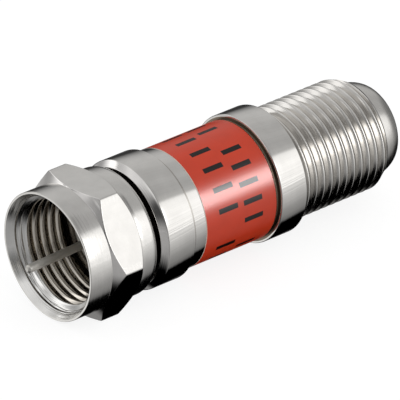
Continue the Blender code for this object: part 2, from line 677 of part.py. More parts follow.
def build_board():
    """Laminate board across the barrel's bore with its signal and ground copper."""
    width = (-BOARD_HALF_WIDTH, BOARD_HALF_WIDTH)
    board = block((BOARD_BOTTOM, BOARD_TOP), width, (BOARD_START, BOARD_END))
    piece("circuit_board", board, BOARD_GREEN, BODY_AXIS)

    up = (COPPER_TOP - COPPER_THICKNESS, COPPER_TOP)
    signal = (-SIGNAL_WIDTH / 2, SIGNAL_WIDTH / 2)
    runs = {
        "in": (BOARD_START + COPPER_MARGIN, BOARD_MIDDLE - TRACK_GAP),
        "out": (BOARD_MIDDLE + TRACK_GAP, BOARD_END - COPPER_MARGIN),
    }
    piece("input_track", block(up, signal, runs["in"]), COPPER, BODY_AXIS)
    piece("output_track", block(up, signal, runs["out"]), COPPER, BODY_AXIS)
    edge = BOARD_HALF_WIDTH - COPPER_MARGIN
    for side, (name, along) in zip((1, -1), runs.items()):
        across = sorted((side * GROUND_INNER, side * edge))
        piece("ground_track_" + name, block(up, across, along), COPPER, BODY_AXIS)
    return runs


def build_resistor(name, caps, middle_up, across, along, lengthways):
    """Chip resistor: ceramic body with a metal cap at each end of its long side."""
    up = (middle_up - RESISTOR_HEIGHT / 2, middle_up + RESISTOR_HEIGHT / 2)
    low, high = along if lengthways else across
    cuts = [
        (low, low + CAP_LENGTH - SOLDERED_GAP),
        (low + CAP_LENGTH, high - CAP_LENGTH),
        (high - CAP_LENGTH + SOLDERED_GAP, high),
    ]
    names = (caps[0], name, caps[1])
    for part_name, cut, material in zip(names, cuts, (SOLDER, CERAMIC, SOLDER)):
        place = (across, cut) if lengthways else (cut, along)
        piece(part_name, block(up, *place, RESISTOR_EDGE), material, BODY_AXIS)


def build_resistors(runs):
    """Pi network: one resistor in series and one from each signal pad to ground."""
    middle_up = RESISTOR_BOTTOM + RESISTOR_HEIGHT / 2
    half_width = RESISTOR_WIDTH / 2
    build_resistor(
        "series_resistor",
        ("series_cap_in", "series_cap_out"),
        middle_up,
        (-half_width, half_width),
        (BOARD_MIDDLE - RESISTOR_LENGTH / 2, BOARD_MIDDLE + RESISTOR_LENGTH / 2),
        True,
    )
    outer = SHUNT_INNER + RESISTOR_LENGTH
    for name, side, anchor in (("in", 1, runs["in"][0]), ("out", -1, runs["out"][1])):
        middle = anchor + side * (half_width + SHUNT_INSET)
        caps = ["shunt_%s_cap_signal" % name, "shunt_%s_cap_ground" % name]
        if side < 0:
            caps.reverse()
        build_resistor(
            "shunt_resistor_" + name,
            caps,
            middle_up,
            tuple(sorted((side * SHUNT_INNER, side * outer))),
            (middle - half_width, middle + half_width),
            False,
        )


def build_solder(name, middle):
    """Domed solder joint over a tail, open where the tail and the copper are."""
    shape = bmesh.new()
    bmesh.ops.create_uvsphere(shape, u_segments=16, v_segments=10, radius=0.5)
    size = Vector((SOLDER_HEIGHT * 2, SOLDER_WIDTH, SOLDER_LENGTH))
    bmesh.ops.scale(shape, vec=size, verts=shape.verts)
    bmesh.ops.translate(shape, vec=Vector((0, 0, middle)), verts=shape.verts)
    mesh = bpy.data.meshes.new(name)
    shape.to_mesh(mesh)
    shape.free()
    length = (middle - SOLDER_LENGTH, middle + SOLDER_LENGTH)
    floor = block((-1.0 * MM - SOLDER_HEIGHT, RESISTOR_BOTTOM), (-SOLDER_WIDTH, SOLDER_WIDTH), length)
    mesh = joined(mesh, "DIFFERENCE", cutter(name + "_floor", floor))
    tail_radius = PIN_RADIUS + SOLDERED_GAP
    tail = [(length[0], tail_radius), (length[1], tail_radius)]
    tail_mesh = lathe(rod_profile(tail), SMALL_SEGMENTS)
    mesh = joined(mesh, "DIFFERENCE", cutter(name + "_tail", tail_mesh))
    piece(name, mesh, SOLDER, BODY_AXIS)


def strip_outline(side):
    """Outline of a ground clip: a strip along the bore with a foot on the ground pad."""
    outer = BARREL_BORE_RADIUS - FIT_GAP
    inner = outer - CLIP_THICKNESS
    foot_low = COPPER_TOP + SOLDERED_GAP
    foot_high = foot_low + CLIP_THICKNESS
    foot_end = GROUND_INNER + COPPER_MARGIN
    outer_start = math.asin(foot_low / outer)
    inner_start = math.asin(foot_high / inner)
    outline = [(foot_high, foot_end), (foot_low, foot_end)]
    for radius, first, last in ((outer, outer_start, CLIP_SWEEP), (inner, CLIP_SWEEP, inner_start)):
        for i in range(ARC_STEPS + 1):
            angle = first + (last - first) * i / ARC_STEPS
            outline.append((radius * math.sin(angle), radius * math.cos(angle)))
    return [(up, side * across) for up, across in outline]


def build_ground_clip(name, side, middle):
    """Bent spring strip between a ground pad and the barrel, made from a flat outline."""
    curve = bpy.data.curves.new(name, "CURVE")
    curve.dimensions = "2D"
    curve.fill_mode = "BOTH"
    curve.extrude = CLIP_WIDTH / 2
    outline = strip_outline(side)
    spline = curve.splines.new("POLY")
    spline.points.add(len(outline) - 1)
    for point, (up, across) in zip(spline.points, outline):
        point.co = (up, across, 0, 1)
    spline.use_cyclic_u = True
    obj = bpy.data.objects.new(name, curve)
    obj.location = (0, 0, middle)
    CUTTERS.objects.link(obj)
    piece(name, mesh_of(obj), STEEL, BODY_AXIS)


def build_inside():
    """Board, network, solder joints and ground clips, all inside the barrel."""
    runs = build_board()
    build_resistors(runs)
    build_solder("solder_in", BOARD_START + COPPER_MARGIN + SOLDER_LENGTH / 2)
    build_solder("solder_out", BOARD_END - COPPER_MARGIN - SOLDER_LENGTH / 2)
    build_ground_clip("ground_clip_in", 1, runs["in"][1] - CLIP_WIDTH / 2)
    build_ground_clip("ground_clip_out", -1, runs["out"][0] + CLIP_WIDTH / 2)


def main():
    """Build every piece of the attenuator."""
    build_coupling_nut()
    build_retaining_ring()
    build_front_shell()
    build_rear_shell()
    build_label_sleeve()
    build_plug_contact()
    build_jack_contact()
    build_inside()


main()
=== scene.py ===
"""Dressed model of an inline RF attenuator with a captive hexagon nut and a threaded jack.

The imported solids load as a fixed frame. Every turned piece that shows is built again here with
fine facets, softened edges and helical threads, in the same place and on the same body, and
every solid that stays gets a procedural finish. Stations are in millimetres along the
connector's axis, counted from the rim of the nut towards the jack. Radii and other sizes of the
turned pieces are in millimetres too.
"""

import logging
import math
from dataclasses import dataclass, field
from enum import Enum
from typing import Callable, Sequence

import bmesh
import bpy
import numpy as np
from mathutils import Matrix, Vector

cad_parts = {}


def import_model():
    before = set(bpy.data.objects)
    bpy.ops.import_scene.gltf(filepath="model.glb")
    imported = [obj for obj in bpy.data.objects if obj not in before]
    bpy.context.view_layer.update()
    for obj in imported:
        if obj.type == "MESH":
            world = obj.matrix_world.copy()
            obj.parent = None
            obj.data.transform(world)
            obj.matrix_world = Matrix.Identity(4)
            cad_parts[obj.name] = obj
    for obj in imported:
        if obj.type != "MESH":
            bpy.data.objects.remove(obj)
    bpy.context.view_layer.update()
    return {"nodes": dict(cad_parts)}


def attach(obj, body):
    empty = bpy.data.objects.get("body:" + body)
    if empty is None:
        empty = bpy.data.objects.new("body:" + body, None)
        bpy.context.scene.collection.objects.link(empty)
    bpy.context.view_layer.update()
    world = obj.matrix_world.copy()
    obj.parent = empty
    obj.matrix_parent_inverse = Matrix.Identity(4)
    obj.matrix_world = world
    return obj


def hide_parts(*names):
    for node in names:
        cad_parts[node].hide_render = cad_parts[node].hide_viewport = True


LOG = logging.getLogger("attenuator")

Amount = np.ndarray | float
Point = tuple[float, float]
Span = tuple[float, float, float, float]
Colour = tuple[float, float, float]
Socket = bpy.types.NodeSocket
Feed = Socket | float | tuple[float, ...]

# One millimetre in metres, and the place of the axis and of station 0 in the frame.
MM = 0.001
AXIS_HEIGHT = 5.5
MIDDLE_STATION = 15.85
FIXED_BODY = "attenuator_body"
NUT_BODY = "coupling_nut_body"
MERGE_DISTANCE = 2e-7
CREASE_ANGLE = math.radians(32)
FILLET_SHARE = 0.48
# Rows of a thread from the middle of its groove towards the crest, in pitches.
GROOVE_PHASES = (0.0, 0.07, 0.11, 0.15, 0.22, 0.3, 0.37, 0.41, 0.44, 0.47)
# Range that the factor of a noise texture mostly stays in.
NOISE_RANGE = (0.3, 0.7)
WHITE = (1.0, 1.0, 1.0, 1.0)


class Facing(Enum):
    """Which side of a wall a thread is cut in."""

    OUTWARD = 1
    INWARD = -1


@dataclass(frozen=True)
class Corner:
    """One corner of a turned profile.

    Args:
        station: Place along the axis.
        radius: Distance from the axis.
        edge: Size of the fillet that softens the corner.
    """

    station: float
    radius: float
    edge: float = 0.0


@dataclass(frozen=True)
class ThreadForm:
    """Size and section of a 60 degree unified thread.

    Args:
        diameter: Diameter over the crests of the outer thread.
        pitch: Distance from crest to crest.
        clearance: Radial room between the two threads.
        root_share: Height of the outer thread, as a share of the sharp triangle.
        minor_share: Height from the outer crest to the inner one, as the same share.
        outer_section: Half the flat bottom of the outer groove and the length of its flank, in
            pitches, and the softness of its shoulders.
        inner_section: The same for the inner groove.
    """

    diameter: float = 9.525
    pitch: float = 0.79375
    clearance: float = 0.05
    root_share: float = 17 / 24
    minor_share: float = 5 / 8
    outer_section: tuple[float, float, float] = (0.055, 0.385, 0.04)
    inner_section: tuple[float, float, float] = (0.0625, 0.35, 0.12)

    @property
    def radius(self) -> float:
        """Radius over the outer thread's crests."""
        return self.diameter / 2

    @property
    def sharp_height(self) -> float:
        """Height of the sharp triangle that the thread form is cut from."""
        return self.pitch * math.sqrt(3) / 2

    @property
    def root_radius(self) -> float:
        """Radius at the bottom of the outer thread's groove."""
        return self.radius - self.sharp_height * self.root_share

    @property
    def minor_radius(self) -> float:
        """Radius over the inner thread's crests."""
        return self.radius - self.sharp_height * self.minor_share + self.clearance / 2

    @property
    def major_radius(self) -> float:
        """Radius at the bottom of the inner thread's groove."""
        return self.radius + self.clearance

    def climb(self, phase: np.ndarray, section: tuple[float, float, float]) -> np.ndarray:
        """Share of the thread's height that its flank has reached.

        Args:
            phase: Place in pitches, counted from the middle of the groove.
            section: Half the flat bottom, the flank's length and the softness.

        Returns:
            Shares, 0 at the bottom of the groove and 1 on the crest.
        """
        flat, flank, soft = section
        away = np.abs((phase + 0.5) % 1.0 - 0.5)
        return soft_clamp((away - flat) / flank, soft)

    def outer_depth(self, phase: np.ndarray) -> np.ndarray:
        """Radius of the outer thread at places in pitches from its groove's middle."""
        height = self.radius - self.root_radius
        return self.root_radius + height * self.climb(phase, self.outer_section)

    def inner_depth(self, phase: np.ndarray) -> np.ndarray:
        """Radius of the inner thread at places in pitches from its groove's middle."""
        height = self.minor_radius - self.major_radius
        return self.major_radius + height * self.climb(phase, self.inner_section)


def soft_clamp(value: np.ndarray, soft: float) -> np.ndarray:
    """Clamp to the range from 0 to 1 with rounded shoulders.

    Args:
        value: Values to clamp.
        soft: Width of each rounded shoulder.

    Returns:
        The clamped values.
    """
    low = 0.5 * (value + np.sqrt(value * value + soft * soft))
    high = 1.0 - low
    top = 0.5 * (high + np.sqrt(high * high + soft * soft))
    return 1.0 - top


def soft_minimum(first: np.ndarray, second: np.ndarray, soft: float) -> np.ndarray:
    """Take the smaller of two values and round the crease between them."""
    gap = first - second
    return 0.5 * (first + second - np.sqrt(gap * gap + soft * soft))


def softened(corners: Sequence[Corner], steps: int = 3) -> list[Point]:
    """Round the corners of an open profile.

    Args:
        corners: The profile's corners, in order. The first and last stay sharp.
        steps: Number of facets in each fillet.

    Returns:
        Stations and radii of the softened profile.
    """
    points: list[Point] = []
    last = len(corners) - 1
    for i, corner in enumerate(corners):
        here = Vector((corner.station, corner.radius))
        if i in (0, last) or corner.edge <= 0:
            points.append((here.x, here.y))
            continue
        before = Vector((corners[i - 1].station, corners[i - 1].radius)) - here
        after = Vector((corners[i + 1].station, corners[i + 1].radius)) - here
        reach = min(corner.edge, before.length * FILLET_SHARE, after.length * FILLET_SHARE)
        start = here + before.normalized() * reach
        end = here + after.normalized() * reach
        for k in range(steps + 1):
            t = k / steps
            bend = start * (1 - t) ** 2 + here * 2 * t * (1 - t) + end * t * t
            points.append((bend.x, bend.y))
    return points


def quarter_oval(start: Point, end: Point, steps: int) -> list[Point]:
    """Quarter of an oval that leaves along the axis and ends square to it.

    Args:
        start: Station and radius where the curve leaves a cylinder.
        end: Station and radius where the curve meets a flat face.
        steps: Number of facets.

    Returns:
        Stations and radii along the curve.
    """
    turns = [math.pi / 2 * k / steps for k in range(steps + 1)]
    reach = end[0] - start[0]
    drop = start[1] - end[1]
    return [(start[0] + reach * math.sin(t), end[1] + drop * math.cos(t)) for t in turns]


def even_angles(columns: int) -> np.ndarray:
    """Angles of evenly spread columns, from 0 to a full turn inclusive."""
    return np.linspace(0.0, math.tau, columns + 1)


def place_of(face: bpy.types.MeshPolygon) -> Point:
    """Station and radius of the middle of a face."""
    radius = math.hypot(face.center.y / MM, face.center.z / MM - AXIS_HEIGHT)
    return face.center.x / MM + MIDDLE_STATION, radius


@dataclass
class Lathe:
    """Grid of rings round the axis that closes into one turned body.

    Args:
        angles: Angle of each column from the +Y side towards the top, in radians.
        stations: Station of each column in each ring.
        radii: Radius of each column in each ring.
    """

    angles: np.ndarray
    stations: list[np.ndarray] = field(default_factory=list)
    radii: list[np.ndarray] = field(default_factory=list)

    def row(self, station: Amount, radius: Amount) -> None:
        """Add one ring.

        Args:
            station: Station of each column, or one for all.
            radius: Radius of each column, or one for all.
        """
        ones = np.ones_like(self.angles)
        self.stations.append(ones * station)
        self.radii.append(ones * radius)

    def run(self, points: Sequence[tuple[Amount, Amount]]) -> None:
        """Add a ring for each station and radius."""
        for station, radius in points:
            self.row(station, radius)

    def helix(
        self,
        form: ThreadForm,
        facing: Facing,
        ends: Point,
        origin: float,
        limit: Callable[[np.ndarray], np.ndarray],
    ) -> None:
        """Add the rows of a thread, which follow its helix and stop at two stations.

        Args:
            form: The thread's form.
            facing: Whether the thread is on the outside or in a bore.
            ends: Stations of the thread's front and rear.
            origin: Station of a groove's middle at angle 0.
            limit: Radius that the thread may not pass, for each station.
        """
        first, last = ends
        rising = np.array(GROOVE_PHASES)
        phases = np.concatenate([rising, [0.5], 1.0 - rising[:0:-1]])
        turn_from = math.floor((first - origin) / form.pitch) - 2
        turn_to = math.ceil((last - origin) / form.pitch) + 1
        lift = origin + form.pitch * self.angles / math.tau
        rows = []
        for turn in range(turn_from, turn_to):
            for phase in phases:
                station = np.clip(lift + form.pitch * (turn + phase), first, last)
                if np.all(station == first) or np.all(station == last):
                    continue
                here = (station - lift) / form.pitch
                if facing is Facing.OUTWARD:
                    radius = np.minimum(form.outer_depth(here), limit(station))
                else:
                    radius = np.maximum(form.inner_depth(here), limit(station))
                rows.append((station, radius))
        if facing is Facing.INWARD:
            rows.reverse()
        self.run(rows)

    def mesh(self, name: str) -> bpy.types.Mesh:
        """Close the rings into a mesh, weld it and smooth it.

        Args:
            name: Name of the mesh.

        Returns:
            The finished mesh, in metres and in the row's frame.
        """
        station = np.array(self.stations)
        radius = np.array(self.radii)
        across = radius * np.cos(self.angles)
        up = radius * np.sin(self.angles)
        points = np.stack([station - MIDDLE_STATION, across, up + AXIS_HEIGHT], axis=-1) * MM
        index = np.arange(station.size).reshape(station.shape)
        after = np.roll(index, -1, axis=0)
        quads = np.stack([index[:, :-1], index[:, 1:], after[:, 1:], after[:, :-1]], axis=-1)
        mesh = bpy.data.meshes.new(name)
        mesh.from_pydata(points.reshape(-1, 3).tolist(), [], quads.reshape(-1, 4).tolist())
        shape = bmesh.new()
        shape.from_mesh(mesh)
        bmesh.ops.remove_doubles(shape, verts=shape.verts, dist=MERGE_DISTANCE)
        bmesh.ops.dissolve_degenerate(shape, edges=shape.edges, dist=MERGE_DISTANCE)
        bmesh.ops.recalc_face_normals(shape, faces=shape.faces)
        shape.to_mesh(mesh)
        shape.free()
        mesh.shade_smooth()
        mesh.set_sharp_from_angle(angle=CREASE_ANGLE)
        return mesh


def turned(name: str, corners: Sequence[Corner], columns: int) -> bpy.types.Mesh:
    """Turn a mesh from a closed profile.

    Args:
        name: Name of the mesh.
        corners: The profile's corners. It closes from the last to the first.
        columns: Number of facets round the axis.

    Returns:
        The finished mesh.
    """
    lathe = Lathe(even_angles(columns))
    lathe.run(softened(corners))
    return lathe.mesh(name)


class Graph:
    """Node tree of one material."""

    def __init__(self, name: str) -> None:
        """Start a material that has only its output and its Principled shader.

        Args:
            name: Material name.
        """
        self.material = bpy.data.materials.new(name)
        self.material.use_nodes = True
        self.tree = self.material.node_tree
        self.shader = self.tree.nodes["Principled BSDF"]

    def add(self, kind: str, **settings: str) -> bpy.types.Node:
        """Add a node and set its own properties.

        Args:
            kind: Node class without the ShaderNode prefix.
            **settings: Properties of the node.

        Returns:
            The new node.
        """
        node = self.tree.nodes.new("ShaderNode" + kind)
        for key, value in settings.items():
            setattr(node, key, value)
        return node

    def put(self, node: bpy.types.Node, key: str | int, value: Feed) -> None:
        """Set an input to a value, or link it to a socket.

        Args:
            node: Node that owns the input.
            key: Name or index of the input.
            value: Value or socket.
        """
        if isinstance(value, bpy.types.NodeSocket):
            self.tree.links.new(value, node.inputs[key])
        else:
            node.inputs[key].default_value = value

    def fill(self, node: bpy.types.Node, inputs: dict[str | int, Feed]) -> Socket:
        """Feed several inputs of a node.

        Args:
            node: Node that owns the inputs.
            inputs: Value or socket for each input's name or index.

        Returns:
            The node's first output.
        """
        for key, value in inputs.items():
            self.put(node, key, value)
        return node.outputs[0]

    def surface(self, shader: bpy.types.Node) -> None:
        """Take the Principled shader out and use another one.

        Args:
            shader: Node whose first output becomes the surface.
        """
        self.tree.nodes.remove(self.shader)
        output = next(n for n in self.tree.nodes if n.type == "OUTPUT_MATERIAL")
        self.put(output, "Surface", shader.outputs[0])

    def math(self, operation: str, *values: Feed) -> Socket:
        """Add a Math node over values or sockets, in order, and return its result."""
        return self.fill(self.add("Math", operation=operation), dict(enumerate(values)))

    def place(self) -> tuple[Socket, Socket, Socket]:
        """Find the place on the object.

        Returns:
            Sockets with the distance along, across and up from the axis, in millimetres.
        """
        split = self.add("SeparateXYZ")
        self.put(split, 0, self.add("TexCoord").outputs["Object"])
        along = self.math("MULTIPLY", split.outputs[0], 1 / MM)
        across = self.math("MULTIPLY", split.outputs[1], 1 / MM)
        up = self.math("MULTIPLY_ADD", split.outputs[2], 1 / MM, -AXIS_HEIGHT)
        return along, across, up

    def noise(self, scale: float, where: Socket, detail: float) -> Socket:
        """Add a Noise texture over a vector and return its factor."""
        node = self.add("TexNoise")
        return self.fill(node, {"Vector": where, "Scale": scale, "Detail": detail})

    def line_noise(self, scale: float, where: Socket, detail: float) -> Socket:
        """Add a Noise texture along one value and return its factor."""
        node = self.add("TexNoise", noise_dimensions="1D")
        return self.fill(node, {"W": where, "Scale": scale, "Detail": detail})

    def spread(self, factor: Socket, low: float, high: float) -> Socket:
        """Map a noise factor on to a range.

        Args:
            factor: Noise factor, mostly inside NOISE_RANGE.
            low: Result at the low end.
            high: Result at the high end.

        Returns:
            Socket with the result.
        """
        start, end = NOISE_RANGE
        return self.fill(
            self.add("MapRange"),
            {"Value": factor, "From Min": start, "From Max": end, "To Min": low, "To Max": high},
        )

    def ease(self, value: Socket, start: float, end: float, level: float = 1.0) -> Socket:
        """Rise smoothly from 0 to a level.

        Args:
            value: Value that drives the rise.
            start: Value where the result is 0.
            end: Value where the result is the level.
            level: Highest result.

        Returns:
            Socket with the result.
        """
        return self.fill(
            self.add("MapRange", interpolation_type="SMOOTHSTEP"),
            {"Value": value, "From Min": start, "From Max": end, "To Min": 0.0, "To Max": level},
        )

    def mix(self, factor: Feed, first: Feed, second: Feed) -> Socket:
        """Mix two numbers, where the factor is the second one's share."""
        return self.fill(self.add("Mix", data_type="FLOAT"), {0: factor, 2: first, 3: second})

    def blend(self, factor: Feed, first: Feed, second: Feed) -> Socket:
        """Mix two colours.

        Args:
            factor: Share of the second colour.
            first: First colour.
            second: Second colour.

        Returns:
            Socket with the mixed colour.
        """
        node = self.add("Mix", data_type="RGBA")
        self.fill(node, {0: factor, 6: first, 7: second})
        return node.outputs[2]

    def bump(self, height: Socket, distance: float) -> None:
        """Drive the shader's normal from a height, whose unit is a distance in metres."""
        normal = self.fill(self.add("Bump"), {"Height": height, "Distance": distance})
        self.put(self.shader, "Normal", normal)


def tone(colour: Colour, gain: float) -> tuple[float, ...]:
    """Scale a linear colour and give it an alpha of 1."""
    return tuple(min(1.0, part * gain) for part in colour) + (1.0,)


@dataclass(frozen=True)
class NickelPlate:
    """Bright nickel over brass, with marks left by turning or drawing.

    Args:
        name: Material name.
        colour: Linear colour of the plate.
        roughness: Mean roughness.
        mark_depth: Depth of the tool marks, in metres.
        lengthways: True where the marks run along the axis.
        marks_per_radian: Scale of lengthways marks round the axis.
        waviness: Sideways wander of the marks, in millimetres.
        fine_marks: Scale of the fine marks.
        coarse_marks: Scale of the coarse marks.
        coarse_share: Height of the coarse marks against the fine ones.
        cloud: Scale of the faint clouds in the colour.
        cloud_tones: Darkest and lightest gain in those clouds.
        uneven: Lowest and highest gain of the roughness.
    """

    name: str
    colour: Colour = (0.66, 0.645, 0.62)
    roughness: float = 0.17
    mark_depth: float = 6e-7
    lengthways: bool = False
    marks_per_radian: float = 5.2
    waviness: float = 0.02
    fine_marks: float = 14.0
    coarse_marks: float = 3.4
    coarse_share: float = 5.0
    cloud: float = 900.0
    cloud_tones: tuple[float, float] = (0.96, 1.03)
    uneven: tuple[float, float] = (0.8, 1.25)

    def material(self) -> bpy.types.Material:
        """Build the material.

        Returns:
            The material.
        """
        graph = Graph(self.name)
        along, across, up = graph.place()
        turn = graph.math("ARCTAN2", up, across)
        run = graph.math("MULTIPLY", turn, self.marks_per_radian) if self.lengthways else along
        wave = graph.math("MULTIPLY", graph.math("SINE", turn), self.waviness)
        lead = graph.math("ADD", run, wave)
        where = graph.add("TexCoord").outputs["Object"]
        fine = graph.line_noise(self.fine_marks, lead, detail=2.0)
        coarse = graph.line_noise(self.coarse_marks, lead, detail=3.0)
        cloud = graph.noise(self.cloud, where, detail=2.0)
        dark, light = (tone(self.colour, gain) for gain in self.cloud_tones)
        smooth, rough = (self.roughness * gain for gain in self.uneven)
        graph.fill(
            graph.shader,
            {
                "Base Color": graph.blend(graph.spread(cloud, 0.0, 1.0), dark, light),
                "Metallic": 1.0,
                "Roughness": graph.spread(coarse, smooth, rough),
            },
        )
        graph.bump(graph.math("MULTIPLY_ADD", coarse, self.coarse_share, fine), self.mark_depth)
        return graph.material


@dataclass(frozen=True)
class PlainFinish:
    """Finish with a mottled colour, uneven roughness and a fine grain.

    Args:
        name: Material name.
        colour: Linear colour.
        roughness: Mean roughness.
        metallic: 1 for a metal and 0 for anything else.
        grain: Size of the grain, in millimetres.
        depth: Depth of the grain, in metres.
        mottle: Share by which the colour varies.
        coat: Weight of a clear coat.
        gloss: Strength of the reflection that is not the coat's.
        patch: Size of the colour's patches against the grain.
        uneven: Lowest and highest gain of the roughness.
        coat_roughness: Roughness of the clear coat.
        coat_ior: Refractive index of the clear coat.
    """

    name: str
    colour: Colour
    roughness: float
    metallic: float = 0.0
    grain: float = 0.2
    depth: float = 1e-6
    mottle: float = 0.1
    coat: float = 0.0
    gloss: float = 0.5
    patch: float = 6.0
    uneven: tuple[float, float] = (0.85, 1.2)
    coat_roughness: float = 0.28
    coat_ior: float = 1.45

    def material(self) -> bpy.types.Material:
        """Build the material.

        Returns:
            The material.
        """
        graph = Graph(self.name)
        where = graph.add("TexCoord").outputs["Object"]
        patch = graph.noise(1 / (self.grain * self.patch * MM), where, detail=3.0)
        grain = graph.noise(1 / (self.grain * MM), where, detail=3.0)
        dark, light = tone(self.colour, 1 - self.mottle), tone(self.colour, 1 + self.mottle)
        smooth, rough = (self.roughness * gain for gain in self.uneven)
        graph.fill(
            graph.shader,
            {
                "Base Color": graph.blend(graph.spread(patch, 0.0, 1.0), dark, light),
                "Metallic": self.metallic,
                "Roughness": graph.spread(grain, smooth, rough),
                "Coat Weight": self.coat,
                "Coat Roughness": self.coat_roughness,
                "Coat IOR": self.coat_ior,
                "Specular IOR Level": self.gloss * (1 - self.coat),
            },
        )
        graph.bump(grain, self.depth)
        return graph.material


TURNED_NICKEL = NickelPlate("turned_nickel", roughness=0.055, mark_depth=5e-7)
NOSE_NICKEL = NickelPlate("nose_nickel", (0.6, 0.585, 0.56), roughness=0.22, mark_depth=8e-7)
STREAKED_NICKEL = NickelPlate("streaked_nickel", roughness=0.14, mark_depth=2e-6)
SATIN_NICKEL = NickelPlate("satin_nickel", roughness=0.15, mark_depth=7e-7)
SHADED_NICKEL = NickelPlate("shaded_nickel", (0.09, 0.08, 0.07), roughness=0.3, mark_depth=7e-7)
# Lighter nickel on the front chamfers of the hexagon and the flange: painted highlight.
CHAMFER_HIGHLIGHT_NICKEL = NickelPlate("chamfer_highlight_nickel", (0.84, 0.82, 0.8), roughness=0.09, mark_depth=2e-6)
# Lighter, rougher nickel on the outer thread's crests: painted highlight lines.
CREST_HIGHLIGHT_NICKEL = NickelPlate("crest_highlight_nickel", (0.8, 0.78, 0.75), roughness=0.2, mark_depth=5e-7)
DRAWN_NICKEL = NickelPlate("drawn_nickel", roughness=0.08, lengthways=True, mark_depth=3e-7)
# Darker nickel in the thread roots, on the post deep in the nut and in the line behind the
# flange: painted shade.
ROOT_SHADE_NICKEL = NickelPlate("root_shade_nickel", (0.46, 0.44, 0.41), roughness=0.24, mark_depth=1.4e-6)
# Dark brown ring in the corner between the sleeve and the collar: painted shade.
CORNER_SHADE_NICKEL = NickelPlate(
    "corner_shade_nickel", (0.2, 0.16, 0.12), roughness=0.3, mark_depth=8e-7
)
BORE_NICKEL = NickelPlate("bore_nickel", (0.75, 0.7, 0.63), roughness=0.08, mark_depth=8e-7)
THREAD_NICKEL = NickelPlate("thread_nickel", (0.72, 0.7, 0.67), roughness=0.12, mark_depth=1.8e-6)
# Dark brown nickel deep in the nut's thread grooves: painted shade.
GROOVE_SHADE_NICKEL = NickelPlate("groove_shade_nickel", (0.3, 0.27, 0.23), roughness=0.16, mark_depth=8e-7)
# Pale nickel in the nut's mouth and the first turns of its thread: painted light.
MOUTH_LIT_NICKEL = NickelPlate("mouth_lit_nickel", (0.85, 0.84, 0.82), roughness=0.15, mark_depth=8e-6)
SPRING_STEEL = PlainFinish("spring_steel_finish", (0.45, 0.45, 0.46), 0.28, metallic=1.0)
PIN_METAL = PlainFinish(
    "pin_metal", (0.62, 0.6, 0.56), 0.36, metallic=0.9, grain=0.5, depth=0.0, mottle=0.03
)
BRONZE = PlainFinish("bronze_finish", (0.72, 0.5, 0.26), 0.25, metallic=1.0)
LABEL_RED = PlainFinish(
    "label_red", (0.6, 0.041, 0.009), 0.5, grain=0.25, depth=8e-7, mottle=0.05, coat=1.0
)
LABEL_INK = PlainFinish(
    "label_ink",
    (0.006, 0.004, 0.003),
    0.5,
    grain=0.25,
    depth=8e-7,
    mottle=0.15,
    coat=0.7,
    gloss=0.15,
)
SLEEVE_EDGE = PlainFinish("sleeve_edge", (0.72, 0.64, 0.56), 0.45, coat=0.5)
BEAD_WHITE = PlainFinish("bead_white", (0.8, 0.8, 0.76), 0.4, grain=0.15, mottle=0.04)
LAMINATE = PlainFinish(
    "laminate_finish", (0.04, 0.17, 0.07), 0.45, grain=0.12, depth=2e-6, mottle=0.2
)
COPPER = PlainFinish("copper_finish", (0.74, 0.58, 0.43), 0.3, metallic=1.0, grain=0.15)
CERAMIC = PlainFinish("ceramic_finish", (0.03, 0.03, 0.034), 0.35, grain=0.1)
SOLDER = PlainFinish("solder_finish", (0.6, 0.6, 0.6), 0.25, metallic=1.0, depth=2e-6)


class Zone(Enum):
    """Part of a piece's surface, with its finish as the value."""

    def material(self) -> bpy.types.Material:
        """Build the material of the zone's finish."""
        return self.value.material()

    def mark(self, face: bpy.types.MeshPolygon) -> None:
        """Give a face the zone's material slot, which is its place in the Enum."""
        face.material_index = list(type(self)).index(self)


class NutZone(Zone):
    """Zones of the coupling nut."""

    STREAKED = STREAKED_NICKEL
    DRAWN = DRAWN_NICKEL
    BORE = BORE_NICKEL
    # Painted light in the mouth.
    MOUTH = MOUTH_LIT_NICKEL
    SATIN = SATIN_NICKEL
    SHADED = SHADED_NICKEL
    # Painted shade deep in the inner thread's grooves.
    GROOVE = GROOVE_SHADE_NICKEL
    # Painted highlight on the hexagon's front chamfer.
    CHAMFER = CHAMFER_HIGHLIGHT_NICKEL


class ShellZone(Zone):
    """Zones of the plug shell."""

    TURNED = TURNED_NICKEL
    SHADED = SHADED_NICKEL
    # Painted highlight on the flange's front chamfer and the outer ring of its front face.
    CHAMFER = CHAMFER_HIGHLIGHT_NICKEL
    # Painted shade on the post, deep inside the nut.
    POST = ROOT_SHADE_NICKEL


class JackZone(Zone):
    """Zones of the barrel and jack."""

    TURNED = TURNED_NICKEL
    FLANK = THREAD_NICKEL
    # Painted shade in the corner between the sleeve and the collar.
    CORNER_SHADE = CORNER_SHADE_NICKEL
    NOSE = NOSE_NICKEL
    # Painted shade in the thread's roots and in the thin line behind the flange.
    ROOT = ROOT_SHADE_NICKEL
    # Painted highlight lines on the crests.
    CREST = CREST_HIGHLIGHT_NICKEL


class SleeveZone(Zone):
    """Zones of the printed sleeve."""

    RED = LABEL_RED
    INK = LABEL_INK
    EDGE = SLEEVE_EDGE


def mount(
    mesh: bpy.types.Mesh, node: str, body: str, slot: str, *finishes: Zone | PlainFinish
) -> None:
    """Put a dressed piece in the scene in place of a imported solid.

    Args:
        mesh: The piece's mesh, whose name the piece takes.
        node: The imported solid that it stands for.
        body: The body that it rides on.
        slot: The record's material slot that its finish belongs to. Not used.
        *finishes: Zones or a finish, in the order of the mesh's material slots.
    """
    for finish in finishes:
        mesh.materials.append(finish.material())
    piece = bpy.data.objects.new(mesh.name, mesh)
    bpy.context.scene.collection.objects.link(piece)
    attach(piece, body)
    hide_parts(node)
    LOG.info("%s: %d faces", piece.name, len(mesh.polygons))


